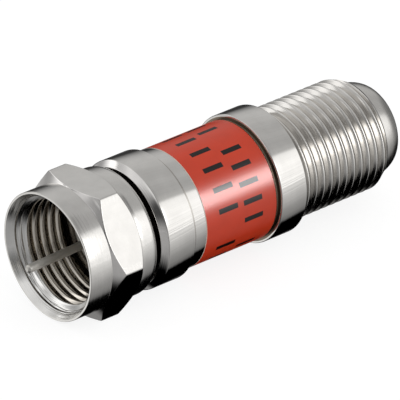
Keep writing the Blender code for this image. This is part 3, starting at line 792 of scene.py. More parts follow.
@dataclass
class CouplingNut:
    """Captive hexagon nut with turned collars and a threaded bore.

    The undercut behind the hexagon is a distance and a depth for each of its rings. The corner
    columns are in degrees, and the chamfer and flat rows are shares of a chamfer and a flat.
    """

    form: ThreadForm = field(default_factory=ThreadForm)
    apothem: float = 5.5
    collar_radius: float = 5.4
    mouth_radius: float = 5.1885
    mouth_lip: float = 0.03
    mouth_inner: float = 4.85
    mouth_depth: float = 0.62
    thread_start: float = 0.8
    lead_slope: float = 1.6
    bright_reach: float = 0.7
    groove_depth: float = 0.2
    thread_end: float = 5.2
    lip_front: float = 6.0
    bore_radius: float = 3.878
    hex_start: float = 2.17
    hex_end: float = 5.3
    undercut: tuple[Point, ...] = ((0.0, 0.04), (0.12, 0.01), (0.3, 0.0))
    length: float = 7.0
    round_length: float = 0.7
    round_radius: float = 4.9
    front_slope: float = math.tan(math.radians(35.5))
    rear_slope: float = math.tan(math.radians(41.0))
    corner_soft: float = 0.1
    crease_soft: float = 0.02
    corner_columns: tuple[float, ...] = (0.4, 0.9, 1.6)
    crease_rows: tuple[float, ...] = (-0.06, -0.03, -0.012, 0.0, 0.012, 0.03, 0.06)
    chamfer_rows: tuple[float, ...] = (0.0, 0.3, 0.65)
    flat_rows: tuple[float, ...] = (0.3, 0.5, 0.7)
    groove_origin: float = 1.35 - 0.79375 / 4
    lathe: Lathe = field(init=False)

    def __post_init__(self) -> None:
        """Set the lathe up with the nut's columns."""
        self.lathe = Lathe(self.angles())

    def angles(self) -> np.ndarray:
        """Spread columns evenly, and closer together at the six corners.

        Returns:
            Angle of each column.
        """
        extra = np.radians(self.corner_columns)
        near = [k * math.pi / 3 + side * d for k in range(7) for d in extra for side in (1, -1)]
        inside = [a for a in near if 0 < a < math.tau]
        return np.unique(np.round(np.concatenate([even_angles(144), inside]), 9))

    def flat_radius(self) -> np.ndarray:
        """Measure the hexagon with softened corners.

        Returns:
            Distance from the axis to the hexagon at each column.
        """
        third = math.pi / 3
        away = np.abs(self.lathe.angles % third - third / 2)
        near = self.apothem / np.cos(away)
        far = self.apothem / np.cos(third - away)
        return soft_minimum(near, far, self.corner_soft)

    def hexagon(self) -> None:
        """Add the rows of the chamfered hexagon, from its front to its rear."""
        flat = self.flat_radius()
        rise = flat - self.collar_radius
        front = self.hex_start + rise * self.front_slope
        rear = self.hex_end - rise * self.rear_slope
        stations = [self.hex_start + (front - self.hex_start) * t for t in self.chamfer_rows]
        stations += [front + offset for offset in self.crease_rows]
        stations += [front + (rear - front) * t for t in self.flat_rows]
        stations += [rear + offset for offset in self.crease_rows]
        stations += [self.hex_end - (self.hex_end - rear) * t for t in self.chamfer_rows[::-1]]
        for station in stations:
            here = np.clip(station, self.hex_start, self.hex_end)
            front_cone = self.collar_radius + (here - self.hex_start) / self.front_slope
            rear_cone = self.collar_radius + (self.hex_end - here) / self.rear_slope
            cone = np.minimum(front_cone, rear_cone)
            radius = soft_minimum(cone, flat, self.crease_soft)
            self.lathe.row(here, np.maximum(radius, self.collar_radius))

    def outside(self) -> None:
        """Add the rows from the rim over the hexagon to the rear face."""
        front = [
            Corner(0.0, self.mouth_radius + self.mouth_lip),
            Corner(0.0, self.collar_radius, edge=0.05),
            Corner(self.hex_start, self.collar_radius),
        ]
        rounding = quarter_oval(
            (self.length - self.round_length, self.collar_radius),
            (self.length, self.round_radius),
            steps=10,
        )
        self.lathe.run(softened(front, steps=4))
        self.hexagon()
        for behind, depth in self.undercut:
            self.lathe.row(self.hex_end + behind, self.collar_radius - depth)
        self.lathe.run(rounding[:-1])

    def inside(self) -> None:
        """Add the rows from the rear face through the bore to the rim."""
        form = self.form
        relief = form.major_radius + form.clearance / 2
        rear = [
            Corner(self.length, self.round_radius),
            Corner(self.length, self.bore_radius, edge=0.08),
            Corner(self.lip_front, self.bore_radius, edge=0.05),
            Corner(self.lip_front, relief, edge=0.05),
            Corner(self.thread_end, relief, edge=0.05),
            Corner(self.thread_end, form.minor_radius),
        ]
        mouth = [
            Corner(self.thread_start, relief),
            Corner(self.mouth_depth, self.mouth_inner, edge=0.03),
            Corner(0.0, self.mouth_radius + self.mouth_lip),
        ]
        self.lathe.run(softened(rear, steps=4))
        self.lathe.helix(
            form,
            Facing.INWARD,
            (self.thread_start, self.thread_end),
            self.groove_origin,
            lambda station: relief - (station - self.thread_start) * self.lead_slope,
        )
        self.lathe.run(softened(mouth, steps=4))

    def build(self) -> None:
        """Make the nut and put it on its body."""
        self.outside()
        self.inside()
        mesh = self.lathe.mesh("nut_dressed")
        for face in mesh.polygons:
            self.zone(face).mark(face)
        mount(mesh, "coupling_nut", NUT_BODY, "bright_nickel", *NutZone)

    def zone(self, face: bpy.types.MeshPolygon) -> NutZone:
        """Choose the finish of a face.

        Args:
            face: The face.

        Returns:
            Its zone.
        """
        rim_width, slack, level, chamfer_facing = 0.03, 0.01, 0.02, -0.6
        centre = face.center / MM - Vector((-MIDDLE_STATION, 0.0, AXIS_HEIGHT))
        radial = Vector((0.0, centre.y, centre.z))
        station, radius, normal = centre.x, radial.length, face.normal
        in_bore = rim_width < station < self.lip_front and radius <= self.mouth_radius
        if in_bore and normal.dot(radial) <= level:
            # Mouth and first turns of the thread: pale nickel, a painted light.
            if station < self.thread_start + self.bright_reach:
                return NutZone.MOUTH
            # Deep in the grooves: dark brown nickel, a painted shade.
            in_groove = radius > self.form.minor_radius + self.groove_depth
            return NutZone.GROOVE if in_groove else NutZone.BORE
        if station > self.length - slack and radius < self.round_radius:
            return NutZone.SHADED
        if station > self.hex_end and radius > self.bore_radius:
            return NutZone.SATIN
        if self.hex_start < station < self.hex_end:
            # Front chamfer of the hexagon: lighter nickel, a painted highlight.
            if normal.x < chamfer_facing:
                return NutZone.CHAMFER
            off = (math.atan2(normal.z, normal.y) - math.pi / 6) % (math.pi / 3)
            if abs(normal.x) <= level and min(off, math.pi / 3 - off) < slack:
                return NutZone.DRAWN
        return NutZone.STREAKED


@dataclass
class PlugEnd:
    """Fixed front end: post with its ring's groove, flange and spigot, pin and bead.

    Grooves and the bead have a front and a rear. The stop is the ledge that holds the bead, the
    bevel has a length and a drop, and the pin leans across and up. A seam is where a profile
    closes.
    """

    face: float = 5.2
    post_radius: float = 3.798
    post_bore: float = 2.948
    seam: float = 0.2
    groove: Point = (5.6, 5.96)
    groove_radius: float = 3.498
    flange_front: float = 7.5
    flange_rear: float = 10.66
    flange_radius: float = 5.45
    chamfer: float = 0.48
    shade_radius: float = 4.6
    spigot_radius: float = 4.52
    spigot_bore: float = 3.92
    spigot_end: float = 12.76
    stop: float = 8.88
    stop_radius: float = 2.598
    stop_length: float = 0.35
    pin_radius: float = 0.35
    pin_tip: float = -2.2
    tip_bevel: Point = (0.13, 0.17)
    shoulder_radius: float = 0.75
    shoulder_length: float = 0.5
    pin_tail: float = 14.51
    pin_lean: Point = (-0.09, -0.21)
    bead: Point = (5.45, 8.85)
    bead_radius: float = 2.918
    bead_hole: float = 0.38
    bead_seam: float = 1.6

    def zone(self, station: float, radius: float) -> ShellZone:
        """Choose the finish of the shell's surface.

        Args:
            station: Station of a face.
            radius: Radius of the same face.

        Returns:
            The face's zone.
        """
        slack, chamfer_end = 0.01, self.flange_front + self.chamfer - 0.03
        # The post deep inside the nut: darker nickel, a painted shade.
        if station < self.groove[1]:
            return ShellZone.POST
        if radius < self.post_radius - slack or station >= chamfer_end:
            return ShellZone.TURNED
        if station < self.flange_front + slack and radius < self.shade_radius + slack:
            return ShellZone.SHADED
        # Flange's front chamfer and the outer ring of its front face: lighter nickel, a painted
        # highlight.
        return ShellZone.CHAMFER

    def shell(self) -> None:
        """Turn the post, the flange and the spigot."""
        groove_front, groove_rear = self.groove
        corners = [
            Corner(self.face, self.post_bore + self.seam),
            Corner(self.face, self.post_radius, edge=0.08),
            Corner(groove_front, self.post_radius, edge=0.02),
            Corner(groove_front, self.groove_radius),
            Corner(groove_rear, self.groove_radius),
            Corner(groove_rear, self.post_radius, edge=0.02),
            Corner(self.flange_front, self.post_radius),
            Corner(self.flange_front, self.shade_radius),
            Corner(self.flange_front, self.flange_radius - self.chamfer, edge=0.05),
            Corner(self.flange_front + self.chamfer, self.flange_radius, edge=0.08),
            Corner(self.flange_rear, self.flange_radius, edge=0.07),
            Corner(self.flange_rear, self.spigot_radius),
            Corner(self.spigot_end, self.spigot_radius, edge=0.08),
            Corner(self.spigot_end, self.spigot_bore, edge=0.04),
            Corner(self.stop + self.stop_length, self.spigot_bore),
            Corner(self.stop + self.stop_length, self.stop_radius, edge=0.04),
            Corner(self.stop, self.stop_radius, edge=0.04),
            Corner(self.stop, self.post_bore),
            Corner(self.face, self.post_bore, edge=0.05),
            Corner(self.face, self.post_bore + self.seam),
        ]
        mesh = turned("plug_shell_dressed", corners, columns=144)
        for face in mesh.polygons:
            self.zone(*place_of(face)).mark(face)
        mount(mesh, "front_shell", FIXED_BODY, "bright_nickel", *ShellZone)

    def pin(self) -> None:
        """Turn the centre pin with its bevelled tip, shoulder and tail."""
        radius = self.pin_radius
        bevel_length, bevel_drop = self.tip_bevel
        shoulder_rear = self.stop + self.shoulder_length
        corners = [
            Corner(self.pin_tip, 0.0),
            Corner(self.pin_tip, radius - bevel_drop, edge=0.05),
            Corner(self.pin_tip + bevel_length, radius, edge=0.08),
            Corner(self.stop, radius),
            Corner(self.stop, self.shoulder_radius, edge=0.03),
            Corner(shoulder_rear, self.shoulder_radius, edge=0.03),
            Corner(shoulder_rear, radius),
            Corner(self.pin_tail, radius, edge=0.03),
            Corner(self.pin_tail, 0.0),
        ]
        mesh = turned("pin_dressed", corners, columns=64)
        for vertex in mesh.vertices:
            station = vertex.co.x / MM + MIDDLE_STATION
            share = max(0.0, (self.face - station) / self.face)
            vertex.co.y += self.pin_lean[0] * share * MM
            vertex.co.z += self.pin_lean[1] * share * MM
        mount(mesh, "center_pin", FIXED_BODY, "tinned_wire", PIN_METAL)

    def pin_bead(self) -> None:
        """Turn the bead that centres the pin."""
        front, rear = self.bead
        corners = [
            Corner(front, self.bead_seam),
            Corner(front, self.bead_radius, edge=0.08),
            Corner(rear, self.bead_radius, edge=0.08),
            Corner(rear, self.bead_hole, edge=0.05),
            Corner(front, self.bead_hole, edge=0.1),
            Corner(front, self.bead_seam),
        ]
        mesh = turned("bead_dressed", corners, columns=96)
        mount(mesh, "plug_insulator", FIXED_BODY, "white_polymer", BEAD_WHITE)

    def build(self) -> None:
        """Make the shell, the pin and the bead."""
        self.shell()
        self.pin()
        self.pin_bead()


@dataclass
class BarrelAndJack:
    """Fixed rear end: barrel, raised collar, outer thread and domed nose.

    The seat is the sleeve's recess. The run-out is the drop of the last crests, and the slopes
    are the rise of the cones on the first and the last turns.
    """

    form: ThreadForm = field(default_factory=ThreadForm)
    front: float = 10.69
    barrel_radius: float = 5.05
    barrel_bore: float = 4.55
    seam: float = 0.2
    seat: Point = (12.12, 19.47)
    seat_radius: float = 4.95
    shade_line: float = 0.36
    collar_front: float = 19.7
    collar_rear: float = 22.35
    collar_radius: float = 5.42
    corner_shade_radius: float = 5.24
    neck_drop: float = 0.02
    thread_start: float = 22.75
    thread_end: float = 31.75
    entry_slope: float = 2.6
    run_out: float = 0.36
    end_slope: float = 0.6
    root_depth: float = 0.05
    crest_depth: float = 0.03
    nose_radius: float = 4.06
    dome_end: float = 3.0
    face: float = 33.9
    opening_radius: float = 2.55
    lip: float = 0.6
    jack_bore: float = 3.1
    bore_end: float = 20.3
    groove_origin: float = 22.75 - 0.79375 / 2

    @property
    def neck(self) -> float:
        """Radius of the neck between the collar and the thread."""
        return self.form.root_radius - self.neck_drop

    def blank(self, station: np.ndarray) -> np.ndarray:
        """Measure the chamfered blank that the thread is cut in.

        Args:
            station: Stations along the thread.

        Returns:
            Radius of the blank at each station.
        """
        crest = self.form.radius
        entry = self.neck + (station - self.thread_start) * self.entry_slope
        end = crest - self.run_out + (self.thread_end - station) * self.end_slope
        return np.minimum(np.minimum(entry, end), crest)

    def build(self) -> None:
        """Make the barrel and jack and put them on the fixed body."""
        seat_front, seat_rear = self.seat
        before = [
            Corner(self.front, self.barrel_bore + self.seam),
            Corner(self.front, self.barrel_radius, edge=0.05),
            Corner(self.front + self.shade_line, self.barrel_radius),
            Corner(seat_front, self.barrel_radius, edge=0.015),
            Corner(seat_front, self.seat_radius),
            Corner(seat_rear, self.seat_radius),
            Corner(seat_rear, self.barrel_radius, edge=0.015),
            Corner(self.collar_front, self.barrel_radius),
            Corner(self.collar_front, self.corner_shade_radius),
            Corner(self.collar_front, self.collar_radius, edge=0.1),
            Corner(self.collar_rear, self.collar_radius, edge=0.12),
            Corner(self.collar_rear, self.neck, edge=0.05),
            Corner(self.thread_start, self.neck),
        ]
        dome = quarter_oval(
            (self.thread_end, self.nose_radius), (self.face, self.dome_end), steps=18
        )
        after = [
            Corner(self.face, self.dome_end),
            Corner(self.face, self.opening_radius, edge=0.08),
            Corner(self.face - self.lip, self.opening_radius, edge=0.04),
            Corner(self.face - self.lip, self.jack_bore),
            Corner(self.bore_end, self.jack_bore, edge=0.05),
            Corner(self.bore_end, self.barrel_bore),
            Corner(self.front, self.barrel_bore, edge=0.05),
            Corner(self.front, self.barrel_bore + self.seam),
        ]
        lathe = Lathe(even_angles(144))
        lathe.run(softened(before, steps=4))
        ends = self.thread_start, self.thread_end
        lathe.helix(self.form, Facing.OUTWARD, ends, self.groove_origin, self.blank)
        lathe.run(dome[:-1])
        lathe.run(softened(after, steps=4))
        mesh = lathe.mesh("jack_shell_dressed")
        for face in mesh.polygons:
            self.zone(*place_of(face)).mark(face)
        mount(mesh, "rear_shell", FIXED_BODY, "bright_nickel", *JackZone)

    def zone(self, station: float, radius: float) -> JackZone:
        """Choose the finish of a surface.

        Args:
            station: Station of a face.
            radius: Radius of the same face.

        Returns:
            The face's zone.
        """
        form = self.form
        slack, reach = 0.02, 0.1
        outside = self.seat_radius < radius < self.corner_shade_radius
        if self.thread_start < station < self.thread_end and radius > form.root_radius - reach:
            # Thread roots: darker nickel, a painted shade.
            if radius < form.root_radius + self.root_depth:
                return JackZone.ROOT
            # Crests: lighter nickel, a painted highlight.
            return JackZone.CREST if radius > form.radius - self.crest_depth else JackZone.FLANK
        # Ring between the sleeve's end and the collar, with the collar's lower front face: dark
        # brown, a painted shade.
        if outside and self.seat[1] - slack < station < self.collar_front + slack:
            return JackZone.CORNER_SHADE
        # Thin line just behind the flange: darker nickel, a painted shade.
        if outside and station < self.front + self.shade_line:
            return JackZone.ROOT
        if station > self.thread_end and radius > self.dome_end:
            return JackZone.NOSE
        return JackZone.TURNED


@dataclass
class PrintedSleeve:
    """Glossy red sleeve with two rows of plain black bars.

    Each row has its front and rear, the columns from bar to bar, the first bar's column and the
    bars in a group, after which one is left out. A bar covers some columns of the sleeve.
    """

    start: float = 12.14
    end: float = 19.45
    radius: float = 5.05
    thickness: float = 0.08
    edge: float = 0.05
    columns: int = 360
    rows: tuple[Point, ...] = ((13.55, 15.5), (16.1, 18.0))
    pitches: tuple[int, ...] = (20, 17)
    phases: tuple[int, ...] = (4, 12)
    groups: tuple[int, ...] = (9, 5)
    bar: int = 5

    def inked(self) -> list[set[int]]:
        """List the columns that each row of bars covers.

        Returns:
            A set of columns for each row.
        """
        rows = []
        for pitch, phase, group in zip(self.pitches, self.phases, self.groups):
            covered: set[int] = set()
            for turn in range((self.columns - pitch) // pitch):
                first = phase + turn * pitch
                if turn % (group + 1) < group:
                    covered.update(c % self.columns for c in range(first, first + self.bar))
            rows.append(covered)
        return rows

    def mark(self, mesh: bpy.types.Mesh) -> None:
        """Ink the bars and give the ends their own finish.

        Args:
            mesh: The sleeve's mesh.
        """
        covered = self.inked()
        for face in mesh.polygons:
            station, radius = place_of(face)
            if not self.start + self.edge < station < self.end - self.edge:
                SleeveZone.EDGE.mark(face)
                continue
            if radius < self.radius - self.edge:
                continue
            turn = math.atan2(face.center.z / MM - AXIS_HEIGHT, face.center.y / MM)
            column = int((turn % math.tau) / math.tau * self.columns)
            for (low, high), columns in zip(self.rows, covered):
                if low < station < high and column in columns:
                    SleeveZone.INK.mark(face)

    def build(self) -> None:
        """Make the sleeve and ink its bars."""
        inner, bevelled = self.radius - self.thickness, self.radius - self.edge
        lathe = Lathe(even_angles(self.columns))
        lathe.row(self.start, inner)
        lathe.row(self.start, bevelled)
        lathe.row(self.start + self.edge, self.radius)
        for row in self.rows:
            for station in row:
                lathe.row(station, self.radius)
        lathe.row(self.end - self.edge, self.radius)
        lathe.row(self.end, bevelled)
        lathe.row(self.end, inner)
        mesh = lathe.mesh("sleeve_dressed")
        self.mark(mesh)
        mount(mesh, "label_sleeve", FIXED_BODY, "red_print", *SleeveZone)


@dataclass
class JackBead:
    """Insulator behind the nose, with the funnel that leads a pin into the contact."""

    face: float = 33.27
    front: float = 28.4
    radius: float = 3.07
    seam: float = 2.0
    funnel_radius: float = 1.0
    funnel_length: float = 0.35
    entry_radius: float = 0.65
    entry_wall: float = 0.7
    chamber_radius: float = 1.05

    def build(self) -> None:
        """Turn the insulator."""
        corners = [
            Corner(self.front, self.seam),
            Corner(self.front, self.radius, edge=0.08),
            Corner(self.face, self.radius, edge=0.08),
            Corner(self.face, self.funnel_radius, edge=0.08),
            Corner(self.face - self.funnel_length, self.entry_radius, edge=0.05),
            Corner(self.face - self.entry_wall, self.entry_radius, edge=0.04),
            Corner(self.face - self.entry_wall, self.chamber_radius),
            Corner(self.front, self.chamber_radius, edge=0.05),
            Corner(self.front, self.seam),
        ]
        mesh = turned("jack_bead_dressed", corners, columns=96)
        mount(mesh, "jack_insulator_front", FIXED_BODY, "white_polymer", BEAD_WHITE)


@dataclass
class KeptSolids:
    """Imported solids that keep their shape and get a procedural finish.

    Args:
        nodes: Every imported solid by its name.
        replaced: Solids that a dressed piece stands for.
        finishes: Each finish with the solids that have it. The others are soldered metal.
    """

    nodes: dict[str, bpy.types.Object]
    replaced: tuple[str, ...] = (
        "coupling_nut",
        "front_shell",
        "rear_shell",
        "label_sleeve",
        "center_pin",
        "plug_insulator",
        "jack_insulator_front",
    )
    finishes: tuple[tuple[PlainFinish, tuple[str, ...]], ...] = (
        (SPRING_STEEL, ("nut_retaining_ring", "ground_clip_in", "ground_clip_out")),
        (BEAD_WHITE, ("jack_insulator_rear",)),
        (BRONZE, ("jack_contact",)),
        (LAMINATE, ("circuit_board",)),
        (COPPER, ("input_track", "output_track", "ground_track_in", "ground_track_out")),
        (CERAMIC, ("series_resistor", "shunt_resistor_in", "shunt_resistor_out")),
    )

    def build(self) -> None:
        """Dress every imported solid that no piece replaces."""
        chosen = {name: finish for finish, names in self.finishes for name in names}
        made: dict[str, bpy.types.Material] = {}
        for name, node in self.nodes.items():
            if name in self.replaced:
                continue
            finish = chosen.get(name, SOLDER)
            if finish.name not in made:
                made[finish.name] = finish.material()
            node.data.materials.clear()
            node.data.materials.append(made[finish.name])
            LOG.info("%s: %s", name, finish.name)


@dataclass
class TentCloth:
    """Striped light of the tent, by direction from its middle.

    Each stripe has an angle round the axis, in degrees from the +Y side towards the top, and a
    level. A reach holds the values where an effect is nothing and where it is full. A span
    also holds the values where it begins to fade and where it is nothing again.
    """

    peak: float = 1.5
    jack_stripes: tuple[Point, ...] = (
        (-55.0, 0.03), (-36.5, 0.14), (-24.5, 0.09), (-12.5, 0.035), (-0.5, 0.06),
        (11.5, 0.34), (23.5, 0.586), (35.5, 0.668), (47.5, 0.66), (59.5, 0.635),
        (71.5, 0.58), (83.5, 0.557), (95.5, 0.6), (107.5, 0.545), (119.5, 0.54),
        (129.5, 0.66), (134.5, 1.3), (150.0, 1.45), (165.0, 1.45), (179.5, 1.36),
        (191.5, 0.97), (203.5, 0.73), (215.5, 0.56), (227.5, 0.39), (239.5, 0.31),
        (249.0, 0.2), (255.0, 0.0),
    )
    nut_stripes: tuple[Point, ...] = (
        (-55.0, 0.5), (-42.0, 1.1), (-15.0, 0.6), (0.0, 0.35), (5.0, 0.38), (9.0, 0.55),
        (14.0, 0.9), (19.0, 1.25), (24.0, 1.3), (28.0, 1.15), (32.0, 0.55), (43.0, 0.65),
        (55.0, 0.8), (80.0, 0.7), (105.0, 0.8), (118.0, 0.8), (135.0, 0.35),
        (152.0, 0.18), (166.0, 0.2), (182.0, 0.35), (200.0, 0.35), (228.0, 0.3),
        (246.0, 0.04), (251.0, 0.0), (285.0, 0.0), (292.0, 0.24),
    )
    side_reach: Point = (0.08, 0.24)
    seam_rate: float = 120.0
    seam_depth: float = 0.12
    seam_span: Span = (0.6, 0.64, 0.68, 0.74)
    pole_level: float = 0.3
    pole_shade: float = 0.06
    pole_glow: float = 0.4
    pole_tilt: float = 0.2
    pole_reach: Point = (-0.66, -0.9)
    pole_floor: Point = (-0.74, -0.5)
    shade_reach: Point = (-0.15, -0.4)
    glow_reach: Point = (0.3, -0.1)
    patch_level: float = 0.9
    patch_centre: Point = (0.2, 0.2)
    patch_rim: Point = (0.24, 0.1)
    patch_reach: Point = (-0.5, -0.8)
    inner_boost: float = 1.0
    boost_span: Span = (0.53, 0.565, 0.61, 0.65)
    inner_shade: float = 0.45
    shade_span: Span = (0.4, 0.44, 0.52, 0.545)
    inner_reach: Point = (0.5, 0.38)
    far_level: float = 0.25
    far_reach: Point = (0.86, 0.97)
    graph: Graph = field(init=False)
    along: Socket = field(init=False)
    across: Socket = field(init=False)
    up: Socket = field(init=False)
    share: Socket = field(init=False)

    def __post_init__(self) -> None:
        """Find the direction's shares along, across and up, and its share of a full turn."""
        graph = self.graph = Graph("tent_cloth")
        where = graph.add("VectorMath", operation="NORMALIZE")
        split = graph.add("SeparateXYZ")
        graph.put(split, 0, graph.fill(where, {0: graph.add("TexCoord").outputs["Object"]}))
        self.along, self.across, self.up = split.outputs
        turn = graph.math("ARCTAN2", self.up, self.across)
        degrees = graph.math("MULTIPLY", turn, 180 / math.pi)
        first = -self.jack_stripes[0][0] / 360
        self.share = graph.math("FRACT", graph.math("MULTIPLY_ADD", degrees, 1 / 360, first))

    def ramp(self, stripes: Sequence[Point]) -> Socket:
        """Find the level of light round the axis.

        Args:
            stripes: Angle and level of each stripe.

        Returns:
            Socket with the level.
        """
        node = self.graph.add("ValToRGB")
        stops = node.color_ramp.elements
        while len(stops) > 1:
            stops.remove(stops[-1])
        for i, (angle, level) in enumerate(stripes):
            at = (angle - stripes[0][0]) / 360
            stop = stops[0] if i == 0 else stops.new(at)
            stop.position = at
            stop.color = tone(WHITE[:3], level / self.peak)
        return self.graph.math("MULTIPLY", self.graph.fill(node, {0: self.share}), self.peak)

    def bulge(self, span: Span, level: float) -> Socket:
        """Rise to a level round the axis and fall back again.

        Args:
            span: Shares of a turn where the rise and the fall begin and end.
            level: Level between the rise and the fall.

        Returns:
            Socket with the result.
        """
        start, full, fading, end = span
        rise = self.graph.ease(self.share, start, full, level)
        return self.graph.math("MULTIPLY", rise, self.graph.ease(self.share, end, fading))

    def end_patch(self) -> Socket:
        """Light the round bright patch near the tent's pole on the nut's side.

        Returns:
            Socket with the level.
        """
        graph = self.graph
        aside, above = self.patch_centre
        far = graph.math("POWER", graph.math("SUBTRACT", self.across, aside), 2.0)
        high = graph.math("POWER", graph.math("SUBTRACT", self.up, above), 2.0)
        off = graph.math("SQRT", graph.math("ADD", far, high))
        patch = graph.ease(off, *self.patch_rim, self.patch_level)
        return graph.math("MULTIPLY", patch, graph.ease(self.along, *self.patch_reach))

    def nut_side(self) -> Socket:
        """Light the tent on the nut's side, with its dim pole and the patch there.

        Returns:
            Socket with the level.
        """
        graph, up = self.graph, self.up
        shade = graph.mix(graph.ease(up, *self.glow_reach), self.pole_shade, self.pole_glow)
        pole = graph.mix(graph.ease(self.across, *self.shade_reach), self.pole_level, shade)
        pole = graph.math("MULTIPLY", pole, graph.ease(up, *self.pole_floor))
        toward = graph.math("MULTIPLY_ADD", self.across, self.pole_tilt, self.along)
        level = graph.mix(
            graph.ease(toward, *self.pole_reach), self.ramp(self.nut_stripes), pole
        )
        return graph.math("ADD", level, self.end_patch())

    def jack_side(self) -> Socket:
        """Light the tent on the jack's side, with the inner part that grooves reflect twice.

        Returns:
            Socket with the level.
        """
        graph = self.graph
        level = self.ramp(self.jack_stripes)
        level = graph.mix(graph.ease(self.along, *self.far_reach), level, self.far_level)
        lit = self.bulge(self.boost_span, self.inner_boost)
        dim = self.bulge(self.shade_span, self.inner_shade)
        inside = graph.ease(self.along, *self.inner_reach)
        gain = graph.math("MULTIPLY_ADD", graph.math("SUBTRACT", lit, dim), inside, 1.0)
        return graph.math("MULTIPLY", level, gain)

    def seams(self) -> Socket:
        """Vary the light by the cloth's seams, most of all at the main stripe's edge.

        Returns:
            Socket with the gain.
        """
        graph = self.graph
        noise = graph.line_noise(self.seam_rate, self.share, detail=2.0)
        swing = graph.math("ADD", self.bulge(self.seam_span, 1.0), self.seam_depth)
        return graph.math("MULTIPLY_ADD", graph.math("SUBTRACT", noise, 0.5), swing, 1.0)

    def material(self) -> bpy.types.Material:
        """Build the glowing material.

        Returns:
            The material.
        """
        graph = self.graph
        side = graph.ease(self.along, *self.side_reach)
        level = graph.mix(side, self.nut_side(), self.jack_side())
        light = graph.add("Emission")
        graph.fill(light, {0: WHITE, 1: graph.math("MULTIPLY", level, self.seams())})
        graph.surface(light)
        return graph.material


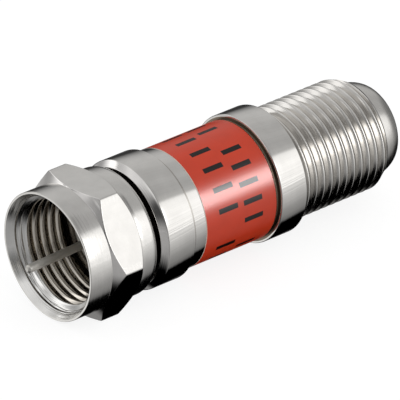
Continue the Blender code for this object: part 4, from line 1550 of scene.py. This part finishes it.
@dataclass
class Studio:
    """Camera, floor, light tent, lamps and background."""

    azimuth: float = -40.2
    elevation: float = 28.6
    distance: float = 0.7
    roll: float = 0.271
    focal_pixels: float = 8807.0
    frame_pixels: float = 400.0
    aim_station: float = 15.0
    aim_right: float = 0.546
    aim_up: float = -0.213
    floor_grey: float = 0.8
    floor_glow: float = 0.86
    floor_seen: float = 0.22
    tent_radius: float = 3.0
    sheen_power: float = 12.8
    sheen_size: Point = (0.6, 0.4)
    sheen_place: tuple[float, float, float] = (0.567, -0.7616, 0.3154)
    lamp_power: float = 0.5
    lamp_size: float = 0.5
    lamp_place: tuple[float, float, float] = (0.15, -0.45, 0.6)
    air_level: float = 0.75

    def camera(self) -> None:
        """Place the camera at the photograph's viewing angle."""
        turn, tilt = math.radians(self.azimuth), math.radians(self.elevation)
        ahead = math.cos(tilt)
        back = Vector((math.sin(turn) * ahead, -math.cos(turn) * ahead, math.sin(tilt)))
        right = Vector((math.cos(turn), math.sin(turn), 0.0))
        up = back.cross(right)
        aim = Vector(((self.aim_station - MIDDLE_STATION) * MM, 0.0, AXIS_HEIGHT * MM))
        aim += right * self.aim_right * MM + up * self.aim_up * MM
        lean = Matrix.Rotation(math.radians(-self.roll), 3, back)
        axes = Matrix((lean @ right, lean @ up, back)).transposed().to_4x4()
        data = bpy.data.cameras.new("camera")
        data.sensor_width = 36.0
        data.lens = self.focal_pixels / self.frame_pixels * data.sensor_width
        data.clip_start, data.clip_end = 0.05, 50.0
        camera = bpy.data.objects.new("camera", data)
        camera.matrix_world = Matrix.Translation(aim + back * self.distance) @ axes
        bpy.context.scene.collection.objects.link(camera)
        bpy.context.scene.camera = camera

    def hang(
        self, name: str, shape: bmesh.types.BMesh, material: bpy.types.Material
    ) -> bpy.types.Object:
        """Put a shape in the scene and use it up.

        Args:
            name: Name of the new object.
            shape: The shape.
            material: The shape's only material.

        Returns:
            The new object.
        """
        mesh = bpy.data.meshes.new(name)
        shape.to_mesh(mesh)
        shape.free()
        mesh.materials.append(material)
        piece = bpy.data.objects.new(name, mesh)
        bpy.context.scene.collection.objects.link(piece)
        return piece

    def floor(self) -> None:
        """Lay a pale floor that keeps the object's shadow."""
        graph = Graph("floor_paint")
        plain_paint, lift, pale, both, paint = (
            graph.add(kind)
            for kind in ("BsdfDiffuse", "Emission", "BsdfDiffuse", "AddShader", "MixShader")
        )
        rays = graph.add("LightPath").outputs
        seen = graph.math("MAXIMUM", rays["Is Camera Ray"], rays["Is Glossy Ray"])
        seen = graph.math("MAXIMUM", seen, rays["Is Transmission Ray"])
        lit = graph.fill(lift, {0: WHITE, 1: self.floor_glow})
        shaded = graph.fill(pale, {0: tone(WHITE[:3], self.floor_seen)})
        under = graph.fill(plain_paint, {0: tone(WHITE[:3], self.floor_grey)})
        graph.fill(paint, {0: seen, 1: under, 2: graph.fill(both, {0: lit, 1: shaded})})
        graph.surface(paint)
        shape = bmesh.new()
        bmesh.ops.create_grid(shape, x_segments=1, y_segments=1, size=2.0)
        floor = self.hang("floor", shape, graph.material)
        floor.visible_glossy = False

    def tent(self) -> None:
        """Hang the light tent that the bright metal reflects."""
        shape = bmesh.new()
        bmesh.ops.create_uvsphere(shape, u_segments=64, v_segments=32, radius=self.tent_radius)
        tent = self.hang("light_tent", shape, TentCloth().material())
        tent.visible_camera = False
        tent.visible_diffuse = False
        tent.visible_shadow = False
        tent.visible_transmission = False

    def sheen(self) -> None:
        """Hang a long lamp that lights only the glossy sleeve."""
        data = bpy.data.lights.new("sleeve_lamp", "AREA")
        data.shape = "RECTANGLE"
        data.size, data.size_y = self.sheen_size
        data.energy = self.sheen_power
        lamp = bpy.data.objects.new("sleeve_lamp", data)
        lamp.visible_diffuse = False
        toward = Vector(self.sheen_place).normalized()
        side = Vector((1.0, 0.0, 0.0))
        side = (side - toward * side.dot(toward)).normalized()
        axes = Matrix((side, toward.cross(side), toward)).transposed().to_4x4()
        lamp.matrix_world = Matrix.Translation(toward) @ axes
        lit = bpy.data.collections.new("sleeve_lit")
        lit.objects.link(bpy.data.objects["sleeve_dressed"])
        lamp.light_linking.receiver_collection = lit
        bpy.context.scene.collection.objects.link(lamp)

    def soft_lamp(self) -> None:
        """Hang a soft lamp that no reflection shows."""
        data = bpy.data.lights.new("soft_lamp", "AREA")
        data.energy, data.size = self.lamp_power, self.lamp_size
        lamp = bpy.data.objects.new("soft_lamp", data)
        lamp.visible_glossy = False
        place = Vector(self.lamp_place)
        axes = place.to_track_quat("Z", "Y").to_matrix().to_4x4()
        lamp.matrix_world = Matrix.Translation(place) @ axes
        bpy.context.scene.collection.objects.link(lamp)

    def air(self) -> None:
        """Set a plain background that is white where it is seen."""
        world = bpy.data.worlds.new("studio_air")
        world.use_nodes = True
        tree = world.node_tree
        soft = tree.nodes["Background"]
        bright = tree.nodes.new("ShaderNodeBackground")
        for shader, level in ((soft, self.air_level), (bright, 1.0)):
            shader.inputs[0].default_value = WHITE
            shader.inputs[1].default_value = level
        rays = tree.nodes.new("ShaderNodeLightPath")
        seen = rays.outputs["Is Camera Ray"]
        for name in ("Is Glossy Ray", "Is Transmission Ray"):
            larger = tree.nodes.new("ShaderNodeMath")
            larger.operation = "MAXIMUM"
            tree.links.new(seen, larger.inputs[0])
            tree.links.new(rays.outputs[name], larger.inputs[1])
            seen = larger.outputs[0]
        mix = tree.nodes.new("ShaderNodeMixShader")
        for i, socket in enumerate((seen, soft.outputs[0], bright.outputs[0])):
            tree.links.new(socket, mix.inputs[i])
        tree.links.new(mix.outputs[0], tree.nodes["World Output"].inputs["Surface"])
        bpy.context.scene.world = world

    def build(self) -> None:
        """Set up everything but the sleeve's own lamp."""
        bpy.context.scene.view_settings.view_transform = "Standard"
        self.camera()
        self.floor()
        self.tent()
        self.soft_lamp()
        self.air()
        LOG.info("studio ready")


def main() -> None:
    """Load the frame, build the studio and every sub-assembly in order, then hang the sleeve's
    lamp.
    """
    logging.basicConfig(level=logging.INFO, format="%(name)s: %(message)s")
    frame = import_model()
    studio = Studio()
    studio.build()
    CouplingNut().build()
    PlugEnd().build()
    BarrelAndJack().build()
    PrintedSleeve().build()
    JackBead().build()
    KeptSolids(frame["nodes"]).build()
    studio.sheen()


if __name__ == "__main__":
    main()
